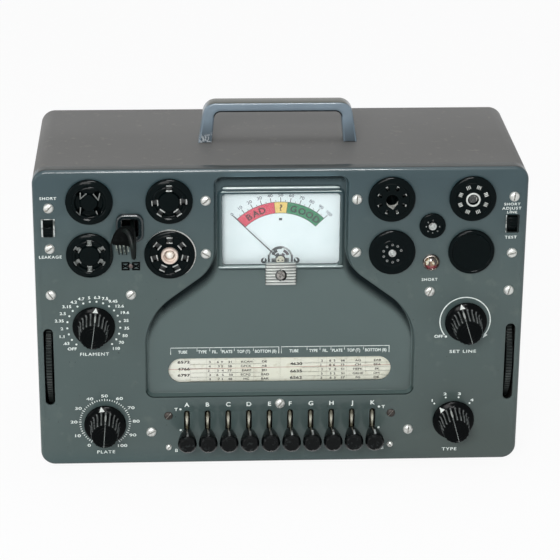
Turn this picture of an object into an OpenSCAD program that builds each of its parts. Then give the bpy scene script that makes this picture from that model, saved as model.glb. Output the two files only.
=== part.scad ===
// Portable tube tester: a steel case with an upright panel, eight tube sockets and a
// blank plug, ten selector levers, four knobs, a meter and a roll chart.
// X runs to the right, Y into the case, Z up. The origin is on the table, in the middle
// of the space the tester takes. Sizes are millimetres.
// Panel coordinates: x from the middle, z from the lower edge, y = 0 on the panel's face.

/* [Case] */
// Width of the case and of its panel
case_w = 368; // [364:1:380]
// Height of the case without its feet
case_h = 240; // [238:1:250]
// Depth from the panel's face to the back of the case
case_d = 150; // [146:1:170]
// Corner radius of the case, seen from the front
corner_r = 11; // [8:0.5:14]
// Thickness of the cabinet's sheet steel
cabinet_wall = 1.2; // [1:0.1:1.6]
// Thickness of the panel's sheet steel
panel_t = 1.6; // [1.4:0.1:2]
// Depth of the flange round the panel
flange_d = 10; // [9:0.5:12]
// Width of the cabinet's rear lip, which takes the back cover's screws
rear_lip = 12; // [11:0.5:14]

/* [Feet and handle] */
// Height of the rubber feet below the case
foot_h = 7; // [6:0.5:10]
// Radius of a foot
foot_r = 8; // [7:0.5:10]
// Distance of the feet from the middle, to either side
foot_x = 152; // [140:1:156]
// Distance of the front feet behind the panel
foot_inset = 34; // [30:1:40]
// Height of the handle above the case
handle_h = 31.5; // [28:0.5:40]
// Width of the handle over its feet
handle_w = 121; // [110:1:140]
// Depth of the handle's bar, front to back
handle_d = 14; // [12:0.5:18]
// Thickness of the handle's grip
handle_t = 7.5; // [6.5:0.5:9]
// Width of each of the handle's legs at its foot
handle_foot = 10.2; // [10:0.2:12]
// Distance of the handle's front face behind the panel
handle_y = 62; // [56:1:70]

/* [Panel recess and meter] */
// Depth of the sunken middle of the panel
recess_d = 6; // [5:0.5:7]
// Gap between the panel's upper edge and the recess
recess_drop = 6.7; // [6:0.1:9]
// Half width of the recess at the meter
recess_top_x = 49.8; // [49:0.1:51]
// Half width of the recess at the chart
recess_low_x = 102; // [100:0.5:104]
// Height of the recess's lower edge
recess_low_z = 56.5; // [54:0.5:57]
// Width of the meter's window
meter_w = 88; // [84:0.5:89]
// Height of the meter's window
meter_h = 58.5; // [56:0.5:60]
// Width of the frame round the meter's window
bezel_w = 3.6; // [3:0.1:3.8]
// How far the meter's frame stands out of the recess
bezel_proud = 2.5; // [2:0.1:3]
// Depth of the meter's dial behind the panel's face
dial_y = 12; // [11.5:0.5:14]
// Reach of the meter's needle from its pivot
needle_reach = 51; // [44:0.5:51]

/* [Chart] */
// Width of the chart's window
chart_w = 170.5; // [160:0.5:174]
// Height of the chart's window
chart_h = 20; // [18:0.5:22]
// Height of the middle of the chart's window
chart_z = 75.6; // [74:0.2:77]
// Radius of a thumbwheel
wheel_r = 45; // [43:0.5:46]
// Width of a thumbwheel's rim
wheel_w = 4.7; // [4:0.1:5]
// How far a thumbwheel stands out of the panel
wheel_proud = 1.6; // [1:0.1:2.2]
// Height of the thumbwheels' shaft
wheel_z = 82.5; // [80:0.5:84]
// Distance from a thumbwheel's middle to the side of the case
wheel_inset = 8.5; // [8:0.1:10]
// Radius of the roll of paper on a spool
spool_r = 11; // [9:0.5:11.5]

/* [Levers] */
// Distance from one lever to the next
lever_pitch = 15.875; // [15:0.125:16]
// Height of the levers' slots, middle
lever_z = 28; // [27:0.5:29]
// Distance of the levers' pivot behind the panel
lever_pivot_y = 38; // [36:0.5:42]
// Reach of a lever's tip in front of the panel
lever_reach = 33; // [30:0.5:36]
// Largest radius of a lever's tip
tip_r = 6.8; // [5.5:0.1:7]
// Length of a lever's slot
lever_slot_h = 35; // [34:0.5:37]
// Radius of the rod that the levers turn on
pivot_rod_r = 2; // [1.6:0.1:2.4]

/* [Knobs and sockets] */
// Radius of a knob's skirt
skirt_r = 16; // [14:0.5:17]
// Radius of a knob's fluted body
knob_r = 11; // [10:0.25:12]
// Reach of a knob's face in front of the panel
knob_reach = 22.5; // [20:0.5:26]
// Number of grips round a knob
knob_grips = 20; // [16:1:32]
// Radius of a control shaft
shaft_r = 3.175; // [3:0.025:3.3]
// Radius of a large tube socket's disc
socket_r = 17.5; // [16.5:0.25:18.5]
// How far a large socket's disc stands out of the panel
socket_proud = 3; // [2.5:0.25:4]
// Radius of a panel screw's head
screw_head_r = 4.2; // [3.8:0.1:4.4]

/* [Fits] */
// Clearance between pieces that stay together
fit_gap = 0.3; // [0.2:0.05:0.4]
// Running clearance round a shaft in its bearing
run_gap = 0.05; // [0.03:0.01:0.08]
// Gap between a moulding and the metal piece that it holds
bond_gap = 0.05; // [0.02:0.01:0.1]

/* [Hidden] */
$fn = 48;

black = [0.03, 0.03, 0.035];
panel_grey = [0.30, 0.36, 0.36];
cabinet_grey = [0.45, 0.44, 0.42];
steel = [0.75, 0.76, 0.76];
cream = [0.93, 0.90, 0.80];
brown_board = [0.35, 0.22, 0.12];

// Where the panel's face stands, so that the whole tester is centred front to back
rear_head_h = 2.2;
front_reach = max(lever_reach, knob_reach);
panel_y = (front_reach - case_d - rear_head_h) / 2;

// Rows and columns of the panel
row_top_z = case_h - 24.5;
row_low_z = case_h - 66.5;
row_mid_z = case_h - 98.4;
outer_x = case_w / 2 - 41.2;
inner_x = case_w / 2 - 100.8;
small_x = case_w / 2 - 71;
mini_z = case_h - 45.8;
lamp_z = case_h - 75.2;
edge_screw_x = case_w / 2 - 11.5;
switch_x = case_w / 2 - 11;
switch_z = case_h - 45;
lead_x = case_w / 2 - 71.5;
lead_z = case_h - 45;
knob_x = case_w / 2 - 43;
low_knob_x = case_w / 2 - 49.8;
knob_top_z = 116;
knob_low_z = 34.3;

// Meter: the window's lower edge, the dial's pivot, and the layers behind the recess
window_z = case_h - 79.5;
window_mid_z = window_z + meter_h / 2;
floor_back = recess_d + panel_t;
glass_t = 1.5;
pivot_z = window_z + 3.3;
meter_case_w = meter_w + 14;
meter_case_h = meter_h + 13;
meter_back = dial_y + 36;

// Chart: the guide rods, the two spools and the plates that carry them
paper_t = 0.3;
paper_w = chart_w + 8;
paper_y = floor_back + 1.8;
guide_r = 2;
guide_y = paper_y + paper_t / 2 + guide_r;
guide_top_z = chart_z + 22;
guide_low_z = chart_z - 19.6;
drive_y = wheel_r - wheel_proud;
supply_y = drive_y + 2 * spool_r + 7;
supply_z = chart_z - 7.4;
spindle_r = 3;
cheek_t = 1.6;
cheek_x = paper_w / 2 + 6;
wheel_x = case_w / 2 - wheel_inset;
wheel_slot_w = 7.3;
wheel_slot_h = 63;
wheel_teeth = 108;

// Levers
lever_names = ["a", "b", "c", "d", "e", "f", "g", "h", "j", "k"];
lever_count = len(lever_names);
lever_slot_w = 4.4;
tip_root = 4.5;
tip_len = lever_reach - tip_root;
shank_w = 1.7;
shank_h = 4.8;
arm_w = 3.6;
bank_half_w = lever_pitch * (lever_count - 1) / 2 + 19.5;
bank_cheek_x = lever_pitch * (lever_count - 1) / 2 + 8.5;
bank_t = 1.4;
bank_low_z = lever_z - 22;
bank_high_z = lever_z + 26;
bank_back = lever_pivot_y + 16;

// Controls behind the panel
bushing_r = 4.75;
nut_t = 2.2;
skirt_gap = 0.8;

// Slide switches
button_w = 7;
button_h = 7.6;
button_travel = 4.4;
button_proud = 3.6;
switch_open_w = 9;
switch_open_h = button_h + button_travel + 1;

// Screws in the panel, each at [x, z]
screw_r = 1.8;
screw_hole_r = screw_r + 0.2;
screw_head_h = 2.4;
meter_screw_x = 56.2;
switch_screws = [
    [-switch_x + 0.8, switch_z + 15.6], [-switch_x + 0.8, switch_z - 16.4],
    [switch_x + 0.6, switch_z + 21.6], [switch_x + 0.6, switch_z - 23.2]
];
bank_top_screw = [0, lever_z + 21.9];
panel_screw_places = concat(switch_screws, [
    [-meter_screw_x, row_top_z], [meter_screw_x, row_top_z],
    [-meter_screw_x, row_low_z], [meter_screw_x, row_low_z],
    [-edge_screw_x, row_mid_z], [edge_screw_x, row_mid_z],
    [-small_x + 0.4, row_mid_z - 0.4], [small_x - 0.4, row_mid_z - 0.4],
    [-bank_half_w - 8, lever_z - 0.8], [bank_half_w + 8.4, lever_z - 1.4], bank_top_screw]);
bank_screw_x = bank_half_w - 5.3;
bank_screw_places = [for (x = [-bank_screw_x, bank_screw_x], z = [12.7, -14]) [x, lever_z + z]];

// Back cover
cover_t = 1.2;
lip_back = case_d - cover_t;
cover_w = case_w - 2 * cabinet_wall - 2 * fit_gap;
cover_h = case_h - 2 * cabinet_wall - 2 * fit_gap;
cover_screw_x = cover_w / 2 - rear_lip / 2;
cover_screw_z = cover_h / 2 - rear_lip / 2;
vent_columns = 12;
vent_pitch = 15;
vent_w = 3.6;
vent_h = 34;
gland_x = -(case_w / 2 - 56);
gland_z = 38;
gland_bore_r = 3.6;
gland_hole_r = 7;

// Grid lead: radius, and points that it follows from its lug on the filament switch,
// up behind the panel, out of the bezel, round a short loop and into the clip
lead_r = 1.7;
lead_sides = 8;
lead_points = [
    [-130, 24, 129], [-130, 31, 129.5], [-130, 38, 132], [-130, 43, 137], [-130, 47, 144],
    [-129, 52, 152], [-127, 56, 160], [-124, 58, 169], [-121, 57, 178], [-118, 53, 187],
    [-115, 46, 194], [-113, 37, 198],
    [-112, 28, 199], [-111.5, 19, 198], [-111, 10, 196.5], [-110.5, 2, 196], [-110, -5, 194.5],
    [-109.5, -9, 190], [-109.5, -10.5, 184.5], [-109.5, -12.5, 179.5], [-109.5, -17, 177],
    [-109.8, -21, 180], [-110.2, -21.5, 186], [-111.2, -19.5, 192], [-113.2, -16, 196.2],
    [-115.6, -12.4, 197.4], [-117.2, -9.8, 196], [-117.6, -9, 193.2]
];
clip_x = -117.6;
clip_y = -9;
clip_top = 194.4;
clip_w = 10.6;
clip_d = 6;
clip_h = 9.4;

// ---------- helpers ----------

// Points round an arc, from angle a0 to a1
function arc(cx, cz, r, a0, a1, n = 8) =
    [for (i = [0:n]) let (a = a0 + (a1 - a0) * i / n) [cx + r * cos(a), cz + r * sin(a)]];

// A rectangle with round corners, centred on [cx, cz]
function round_rect(w, h, r, cx = 0, cz = 0) = concat(
    arc(cx + w / 2 - r, cz + h / 2 - r, r, 0, 90),
    arc(cx - w / 2 + r, cz + h / 2 - r, r, 90, 180),
    arc(cx - w / 2 + r, cz - h / 2 + r, r, 180, 270),
    arc(cx + w / 2 - r, cz - h / 2 + r, r, 270, 360));

// The outline mirrored to the other side of the middle, in the same turning direction
function mirrored(points) =
    [for (i = [len(points) - 1:-1:0]) [-points[i][0], points[i][1]]];

// The sunken middle of the panel, grown by g all round: a narrow upper part at the
// meter, shoulders that curve out, and a wide lower part at the chart
shoulder_turn = 53;
shoulder_z = case_h - 64;
shoulder_in_r = 28;
shoulder_out_r = 48;
function recess_side(g) =
    let (
        top_z = case_h - recess_drop + g,
        top_x = recess_top_x + g,
        low_x = recess_low_x + g,
        low_z = recess_low_z - g,
        in_r = shoulder_in_r - g,
        out_r = shoulder_out_r + g,
        bend_z = shoulder_z - g * tan(shoulder_turn / 2),
        in_end = [top_x + in_r * (1 - cos(shoulder_turn)), bend_z - in_r * sin(shoulder_turn)],
        out_x = low_x - out_r * (1 - cos(shoulder_turn)),
        out_z = in_end[1] - (out_x - in_end[0]) / tan(shoulder_turn)
    )
    concat(
        arc(low_x - 6 - g, low_z + 6 + g, 6 + g, -90, 0),
        arc(low_x - out_r, out_z - out_r * sin(shoulder_turn), out_r, 0, shoulder_turn),
        arc(top_x + in_r, bend_z, in_r, 180 + shoulder_turn, 180),
        arc(top_x - 6.6 - g, top_z - 6.6 - g, 6.6 + g, 0, 90));
function recess_outline(g) = concat(recess_side(g), mirrored(recess_side(g)));

// A flat strip of thickness t along a path of points
function strip_normal(p, i) =
    let (a = p[max(i - 1, 0)], b = p[min(i + 1, len(p) - 1)], d = (b - a) / norm(b - a))
    [-d[1], d[0]];
function strip(p, t) = concat(
    [for (i = [0:len(p) - 1]) p[i] + strip_normal(p, i) * t / 2],
    [for (i = [len(p) - 1:-1:0]) p[i] - strip_normal(p, i) * t / 2]);

// Stands a piece that is drawn in panel coordinates in its place in the tester
module on_panel() translate([0, panel_y, foot_h]) children();

// A flat outline in x and z, from depth y0 to y1
module slab(y0, y1) translate([0, y1, 0]) rotate([90, 0, 0]) linear_extrude(y1 - y0) children();

// A flat outline in y and z, from x0 to x1
module across(x0, x1) translate([x0, 0, 0]) rotate([90, 0, 90]) linear_extrude(x1 - x0) children();

// A round bar from the front to the back, and one from side to side
module rod_y(x, z, y0, y1, r) translate([x, y0, z]) rotate([-90, 0, 0]) cylinder(h = y1 - y0, r = r);
module rod_x(y, z, x0, x1, r) translate([x0, y, z]) rotate([0, 90, 0]) cylinder(h = x1 - x0, r = r);

// A box given by its lowest and highest corners
module block(low, high) translate(low) cube(high - low);

// A round-headed slotted screw at the origin: its head in front of y = 0, its shank behind
module round_screw(head_r, head_h, length, turn) {
    dome_r = (head_r * head_r + head_h * head_h) / (2 * head_h);
    difference() {
        union() {
            intersection() {
                translate([0, dome_r - head_h, 0]) sphere(r = dome_r);
                rod_y(0, 0, -head_h - 1, 0, head_r + 1);
            }
            rod_y(0, 0, 0, length, screw_r);
        }
        rotate([0, turn, 0])
            block([-head_r - 1, -head_h - 1, -0.55], [head_r + 1, -head_h + 1.2, 0.55]);
    }
}

// ---------- case ----------

module case_outline(inset) polygon(round_rect(case_w - 2 * inset, case_h - 2 * inset,
    max(corner_r - inset, 1), 0, case_h / 2));

module foot_places()
    for (x = [-foot_x, foot_x], y = [foot_inset, case_d - foot_inset / 2]) translate([x, y, 0]) children();

module handle_screw_places()
    for (s = [-1, 1]) translate([s * (handle_w - handle_foot) / 2, handle_y + handle_d / 2, case_h]) children();

module cabinet() color(cabinet_grey) on_panel() difference() {
    union() {
        difference() {
            slab(flange_d, case_d) case_outline(0);
            slab(flange_d - 1, case_d + 1) case_outline(cabinet_wall);
        }
        // Joggle that reaches inside the panel's flange
        difference() {
            slab(flange_d / 3, flange_d + 6) case_outline(panel_t + fit_gap);
            slab(0, flange_d + 7) case_outline(panel_t + fit_gap + cabinet_wall);
        }
        difference() {
            slab(flange_d + 3, flange_d + 6) case_outline(cabinet_wall / 2);
            slab(flange_d, flange_d + 7) case_outline(panel_t + fit_gap + cabinet_wall);
        }
        // Lip that the back cover is screwed to
        difference() {
            slab(lip_back - cover_t, lip_back) case_outline(cabinet_wall / 2);
            slab(lip_back - cover_t - 1, lip_back + 1) case_outline(cabinet_wall + rear_lip);
        }
    }
    foot_places() translate([0, 0, -1]) cylinder(h = 5, r = foot_r / 2 + fit_gap / 2);
    handle_screw_places() translate([0, 0, -4]) cylinder(h = 5, r = screw_hole_r);
    for (x = [-1, 1], z = [-1, 1])
        rod_y(x * cover_screw_x, case_h / 2 + z * cover_screw_z, lip_back - 4, case_d, screw_hole_r);
}

module back_cover() color(cabinet_grey) on_panel() difference() {
    slab(lip_back, case_d) polygon(round_rect(cover_w, cover_h, corner_r - cabinet_wall, 0, case_h / 2));
    for (x = [-1, 1], z = [-1, 1])
        rod_y(x * cover_screw_x, case_h / 2 + z * cover_screw_z, lip_back - 1, case_d + 1, screw_hole_r);
    for (i = [0:vent_columns - 1], row = [-1, 1])
        slab(lip_back - 1, case_d + 1) polygon(round_rect(vent_w, vent_h, vent_w / 2 - 0.01,
            (i - (vent_columns - 1) / 2) * vent_pitch, case_h / 2 + row * (vent_h / 2 + 10)));
    rod_y(gland_x, gland_z, lip_back - 1, case_d + 1, gland_hole_r);
}

module case_screws() color(steel) on_panel() {
    for (x = [-1, 1], z = [-1, 1])
        translate([x * cover_screw_x, case_d, case_h / 2 + z * cover_screw_z]) rotate([0, 0, 180])
            round_screw(screw_head_r - 0.4, rear_head_h, 7, 30);
    handle_screw_places() translate([0, 0, -cabinet_wall]) rotate([90, 0, 0])
        round_screw(screw_head_r - 0.4, rear_head_h, 14, 0);
}

module cord_grommet() color(black) on_panel() difference() {
    union() {
        rod_y(gland_x, gland_z, case_d, case_d + rear_head_h - 0.2, gland_hole_r + 2.5);
        rod_y(gland_x, gland_z, lip_back, case_d, gland_hole_r - fit_gap / 2);
        rod_y(gland_x, gland_z, lip_back - 3, lip_back, gland_hole_r + 1.8);
    }
    rod_y(gland_x, gland_z, lip_back - 4, case_d + 4, gland_bore_r);
}

module handle_outline() {
    half = handle_w / 2;
    lean = 3.5;
    outer = half - lean - 10;
    inner = half - lean - 8.6 - 5;
    polygon(concat(
        [[half, 0]],
        arc(outer, handle_h - 10, 10, 8, 90),
        arc(-outer, handle_h - 10, 10, 90, 172),
        [[-half, 0], [-half + handle_foot, 0]],
        arc(-inner, handle_h - handle_t - 5, 5, 180, 90),
        arc(inner, handle_h - handle_t - 5, 5, 90, 0),
        [[half - handle_foot, 0]]));
}

module handle() color([0.30, 0.34, 0.38]) on_panel() difference() {
    translate([0, 0, case_h]) slab(handle_y, handle_y + handle_d) handle_outline();
    handle_screw_places() translate([0, 0, -1]) cylinder(h = 15, r = screw_hole_r);
}

module feet() color(black) on_panel() foot_places() {
    difference() {
        union() {
            translate([0, 0, -foot_h]) cylinder(h = foot_h, r1 = foot_r - 1, r2 = foot_r);
            cylinder(h = cabinet_wall, r = foot_r / 2);
            translate([0, 0, cabinet_wall]) cylinder(h = 2.4, r1 = foot_r / 2 + 1.4, r2 = foot_r / 2 - 0.6);
        }
        translate([0, 0, -foot_h - 1]) cylinder(h = 3, r = foot_r / 3);
    }
}

// ---------- panel ----------

module window_outline() polygon(round_rect(meter_w, meter_h, 3, 0, window_mid_z));

module chart_outline() polygon(round_rect(chart_w, chart_h, chart_h / 2 - 0.01, 0, chart_z));

module lever_slots(y0, y1)
    for (i = [0:lever_count - 1])
        slab(y0, y1) polygon(round_rect(lever_slot_w, lever_slot_h, lever_slot_w / 2 - 0.01,
            lever_x(i), lever_z));

function lever_x(i) = (i - (lever_count - 1) / 2) * lever_pitch;

// Holes in the panel for the sockets' bodies: [x, z, radius]
socket_body_r = 13.4;
socket_holes = concat(
    [for (x = [-outer_x, -inner_x, inner_x, outer_x], z = [row_top_z, row_low_z]) [x, z, socket_body_r + fit_gap]],
    [[small_x, mini_z, 8]]);

module front_panel() color(panel_grey) on_panel() difference() {
    union() {
        difference() {
            union() {
                slab(0, panel_t) case_outline(0);
                difference() {
                    slab(0, flange_d) case_outline(0);
                    slab(-1, flange_d + 1) case_outline(panel_t);
                }
                slab(0, floor_back) polygon(recess_outline(panel_t));
            }
            slab(-1, recess_d) polygon(recess_outline(0));
        }
        slab(recess_d - bezel_proud, recess_d + 0.5)
            polygon(round_rect(meter_w + 2 * bezel_w, meter_h + 2 * bezel_w, 5, 0, window_mid_z));
    }
    slab(0, floor_back + 1) window_outline();
    slab(0, floor_back + 1) chart_outline();
    lever_slots(-1, panel_t + 1);
    for (s = [-1, 1]) {
        slab(-1, panel_t + 1) polygon(round_rect(wheel_slot_w, wheel_slot_h, wheel_slot_w / 2 - 0.01,
            s * wheel_x, wheel_z));
        rod_y(s * knob_x, knob_top_z, -1, panel_t + 1, bushing_r + 0.15);
        rod_y(s * low_knob_x, knob_low_z, -1, panel_t + 1, bushing_r + 0.15);
        slab(-1, panel_t + 1) polygon(round_rect(switch_open_w + 1.4, switch_open_h + 1.4, 0.6,
            s * switch_x, switch_z));
    }
    for (h = socket_holes) rod_y(h[0], h[1], -1, panel_t + 1, h[2]);
    rod_y(small_x, lamp_z, -1, panel_t + 1, 5);
    slab(-1, panel_t + 1) polygon(round_rect(16, 17, 2.5, -lead_x, lead_z));
    for (p = concat(panel_screw_places, bank_screw_places)) rod_y(p[0], p[1], -1, panel_t + 1, screw_hole_r);
}

module panel_screws() color(steel) on_panel() {
    for (i = [0:len(panel_screw_places) - 1]) let (p = panel_screw_places[i])
        translate([p[0], 0, p[1]]) round_screw(screw_head_r, screw_head_h, 5.4, 35 + 47 * i);
    for (i = [0:len(bank_screw_places) - 1]) let (p = bank_screw_places[i])
        translate([p[0], 0, p[1]]) round_screw(screw_head_r - 0.6, 2, 6.5, 20 + 53 * i);
}

// ---------- tube sockets ----------

// Contact openings of one socket: [x, z, number, radius of their circle, length, width, turn]
four_pin = [-outer_x, row_top_z, 4, 8.2, 6.4, 2.8, 45];
five_pin = [-inner_x, row_top_z, 5, 9.5, 5.6, 2.6, 90];
six_pin = [-outer_x, row_low_z, 6, 9.6, 5.4, 2.6, 30];
seven_pin = [-inner_x, row_low_z, 7, 11, 4.2, 2.4, 90];
octal = [inner_x, row_top_z, 8, 8.7, 3.6, 2.2, 22.5];
loctal = [outer_x, row_top_z, 8, 8.7, 3.6, 2, 22.5];
miniature = [small_x, mini_z, 7, 4.76, 1.8, 1.2, 0];
noval = [inner_x, row_low_z, 9, 5.95, 1.8, 1.3, 0];
contact_depth = 6;

module contact_places(s)
    translate([s[0], 0, s[1]])
        for (i = [0:s[2] - 1]) rotate([0, -(s[6] + i * 360 / s[2]), 0]) translate([s[3], 0, 0]) children();

module contact_openings(s)
    contact_places(s) block([-s[4] / 2, -socket_proud - 3, -s[5] / 2], [s[4] / 2, contact_depth, s[5] / 2]);

// A moulded disc with a raised middle, openings for the contacts and a centre hole
module moulded_socket(s, disc_r, proud, hub_r, body_r, centre_r) color(black) on_panel() difference() {
    union() {
        rod_y(s[0], s[1], -proud, 0, disc_r);
        rod_y(s[0], s[1], -proud - 1, -proud, hub_r);
        rod_y(s[0], s[1], 0, 14, body_r);
    }
    contact_openings(s);
    rod_y(s[0], s[1], -proud - 2, 10, centre_r);
}

module socket_four_pin() moulded_socket(four_pin, socket_r, socket_proud, 13, socket_body_r, 2.5);
module socket_five_pin() moulded_socket(five_pin, socket_r, socket_proud, 13.4, socket_body_r, 2.5);
module socket_six_pin() moulded_socket(six_pin, socket_r, socket_proud, 13.4, socket_body_r, 2.5);
module socket_seven_pin() moulded_socket(seven_pin, socket_r + 1.5, socket_proud, 14.4, socket_body_r, 6.9);
module socket_octal() moulded_socket(octal, socket_r, socket_proud, 12.4, socket_body_r, 4);
module socket_loctal() moulded_socket(loctal, socket_r, socket_proud, 12.4, socket_body_r, 3.4);
module socket_noval() moulded_socket(noval, socket_r, socket_proud, 9, socket_body_r, 1.8);
module socket_miniature() moulded_socket(miniature, 10, 2, 7, 7.7, 1.6);

module socket_blank_plug() color(black) on_panel() difference() {
    union() {
        rod_y(outer_x, row_low_z, -socket_proud - 0.6, 0, socket_r);
        rod_y(outer_x, row_low_z, 0, 7, socket_body_r);
    }
    rod_y(outer_x, row_low_z, -socket_proud - 2, -socket_proud + 0.8, socket_r - 2.8);
}

// One springy contact in each opening, standing on the opening's floor
module socket_contacts() color(steel) on_panel()
    for (s = [four_pin, five_pin, six_pin, seven_pin, octal, loctal, miniature, noval])
        contact_places(s)
            block([-s[4] / 2 + 0.4, -socket_proud + 1.4, -s[5] / 4], [s[4] / 2 - 0.4, contact_depth, s[5] / 4]);

module pilot_lamp_socket() color(cream) on_panel() difference() {
    rod_y(-inner_x, row_low_z, -socket_proud - 2.6, 10, 6.5);
    rod_y(-inner_x, row_low_z, -socket_proud - 4, 2, 4.4);
}

module short_lamp_bezel() color(steel) on_panel() difference() {
    union() {
        rod_y(small_x, lamp_z, -2, 0, 6.5);
        rod_y(small_x, lamp_z, 0, 22, 4.85);
        rod_y(small_x, lamp_z, panel_t, panel_t + 3, 7.2);
    }
    rod_y(small_x, lamp_z, -3, 18, 4.2);
}

module short_lamp_jewel() color([0.55, 0.05, 0.06]) on_panel() difference() {
    union() {
        intersection() {
            translate([small_x, 1.2, lamp_z]) sphere(r = 5.4);
            rod_y(small_x, lamp_z, -6, -2, 5.2);
        }
        rod_y(small_x, lamp_z, -2, 6, 4.1);
    }
    rod_y(small_x, lamp_z, 1, 7, 3.2);
}

// ---------- slide switches ----------

module switch_frame(x, screws) {
    back = 13;
    difference() {
        union() {
            block([x - 7, panel_t, screws[1][1] - 4], [x + 7, panel_t + 1, screws[0][1] + 4]);
            block([x - 7, panel_t, switch_z - 12], [x + 7, back, switch_z + 12]);
            block([x - switch_open_w / 2 - 0.5, 0.2, switch_z - switch_open_h / 2 - 0.5],
                [x + switch_open_w / 2 + 0.5, panel_t, switch_z + switch_open_h / 2 + 0.5]);
        }
        block([x - button_w / 2 - fit_gap, -1, switch_z - switch_open_h / 2],
            [x + button_w / 2 + fit_gap, panel_t + 2, switch_z + switch_open_h / 2]);
        block([x - 6, panel_t + 1, switch_z - 11], [x + 6, back - 1, switch_z + 11]);
        for (p = screws) rod_y(p[0], p[1], 0, 4, screw_hole_r);
    }
}

module slide_switch_frames() color(steel) on_panel() {
    switch_frame(-switch_x, [switch_screws[0], switch_screws[1]]);
    switch_frame(switch_x, [switch_screws[2], switch_screws[3]]);
}

// A button with the slider behind the frame's plate; z is the button's middle
module switch_button(x, z) color(black) on_panel() {
    block([x - button_w / 2, -button_proud, z - button_h / 2], [x + button_w / 2, panel_t + 1.3, z + button_h / 2]);
    block([x - 5.2, panel_t + 1.3, z - 8], [x + 5.2, panel_t + 4, z + 8]);
}

module leakage_button() switch_button(-switch_x, switch_z - button_travel / 2);
module test_button() switch_button(switch_x, switch_z + button_travel / 2);

// ---------- knobs and controls ----------

knob_skirt_t = 3;
knob_hollow_r = 8.6;
shaft_back = 24;

function fluted(r, n, depth) = [for (i = [0:n - 1], k = [0:3])
    let (a = (i + k / 4) * 360 / n, rr = (k == 0 || k == 3) ? r - depth : r) [rr * cos(a), rr * sin(a)]];

// A knob on its shaft, pointing up before it is turned clockwise by turn
module knob(x, z, turn) color(black) on_panel() translate([x, 0, z]) rotate([0, turn, 0]) {
    difference() {
        union() {
            rod_y(0, 0, -skirt_gap - knob_skirt_t, -skirt_gap, skirt_r);
            slab(-knob_reach, -skirt_gap - knob_skirt_t) polygon(fluted(knob_r, knob_grips, 0.7));
        }
        rod_y(0, 0, -skirt_gap - 5, 0, knob_hollow_r);
        rod_y(0, 0, -knob_reach + 6 - bond_gap, 0, shaft_r + bond_gap);
        slab(-knob_reach - 1, -knob_reach + 0.5) difference() {
            circle(r = knob_r - 2.4);
            circle(r = knob_r - 3.2);
        }
    }
    rod_y(0, 0, -knob_reach + 6, shaft_back, shaft_r);
}

module filament_knob() knob(-knob_x, knob_top_z, 7.25);
module line_knob() knob(knob_x, knob_top_z, -16);
module plate_knob() knob(-low_knob_x, knob_low_z, -10);
module type_knob() knob(low_knob_x, knob_low_z, -45);

// The fixed part that a control shares: threaded bushing, nut and front plate
module bushing(x, z, plate_r) {
    rod_y(x, z, -4, panel_t, bushing_r);
    rod_y(x, z, -nut_t, 0, bushing_r + 2.6);
    rod_y(x, z, panel_t, panel_t + 2.4, plate_r);
}

module wafer_switch(x, z) difference() {
    union() {
        bushing(x, z, 15);
        for (y = [10, 20]) rod_y(x, z, y, y + 2, 16.5);
        for (s = [-1, 1]) rod_y(x + s * 13, z, panel_t, 28, 1.6);
        rod_y(x, z, panel_t, panel_t + 5, 6);
    }
    rod_y(x, z, -5, 30, shaft_r + run_gap);
}

module rotary_switches() color(brown_board) on_panel() {
    wafer_switch(-knob_x, knob_top_z);
    // Lug on the rear wafer that the grid lead starts from
    block([-132, 21, 125.5], [-128, 24, 131.5]);
    wafer_switch(low_knob_x, knob_low_z);
}

module potentiometers() color(steel) on_panel()
    for (p = [[knob_x, knob_top_z], [-low_knob_x, knob_low_z]]) difference() {
        union() {
            bushing(p[0], p[1], 13);
            rod_y(p[0], p[1], panel_t + 2.4, shaft_back + 2, 14.5);
        }
        rod_y(p[0], p[1], -5, shaft_back + 0.4, shaft_r + run_gap);
    }

// ---------- levers ----------

module lever_bank_frame() color(steel) on_panel() difference() {
    union() {
        block([-bank_half_w, panel_t, bank_low_z], [bank_half_w, panel_t + bank_t, bank_high_z]);
        for (s = [-1, 1])
            block([s * bank_cheek_x - 0.8, panel_t, lever_z - 14], [s * bank_cheek_x + 0.8, bank_back, lever_z + 14]);
        block([-bank_cheek_x, bank_back - bank_t, lever_z - 14], [bank_cheek_x, bank_back, lever_z + 14]);
    }
    lever_slots(panel_t - 1, panel_t + bank_t + 1);
    rod_x(lever_pivot_y, lever_z, -bank_half_w, bank_half_w, pivot_rod_r + run_gap);
    for (p = concat(bank_screw_places, [bank_top_screw]))
        rod_y(p[0], p[1], 0, panel_t + 3, screw_hole_r);
}

module lever_pivot_rod() color(steel) on_panel()
    rod_x(lever_pivot_y, lever_z, -bank_cheek_x - 4, bank_cheek_x + 4, pivot_rod_r);

// Half outline of a lever's tip: radius, and distance in front of its root
function tip_profile() = [
    [0, 0], [0.40 * tip_r, 0], [0.50 * tip_r, 0.07 * tip_len], [0.76 * tip_r, 0.35 * tip_len],
    [0.94 * tip_r, 0.58 * tip_len], [tip_r, 0.73 * tip_len], [0.95 * tip_r, 0.86 * tip_len],
    [0.80 * tip_r, 0.96 * tip_len], [0.69 * tip_r, tip_len], [0, tip_len]];

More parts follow.
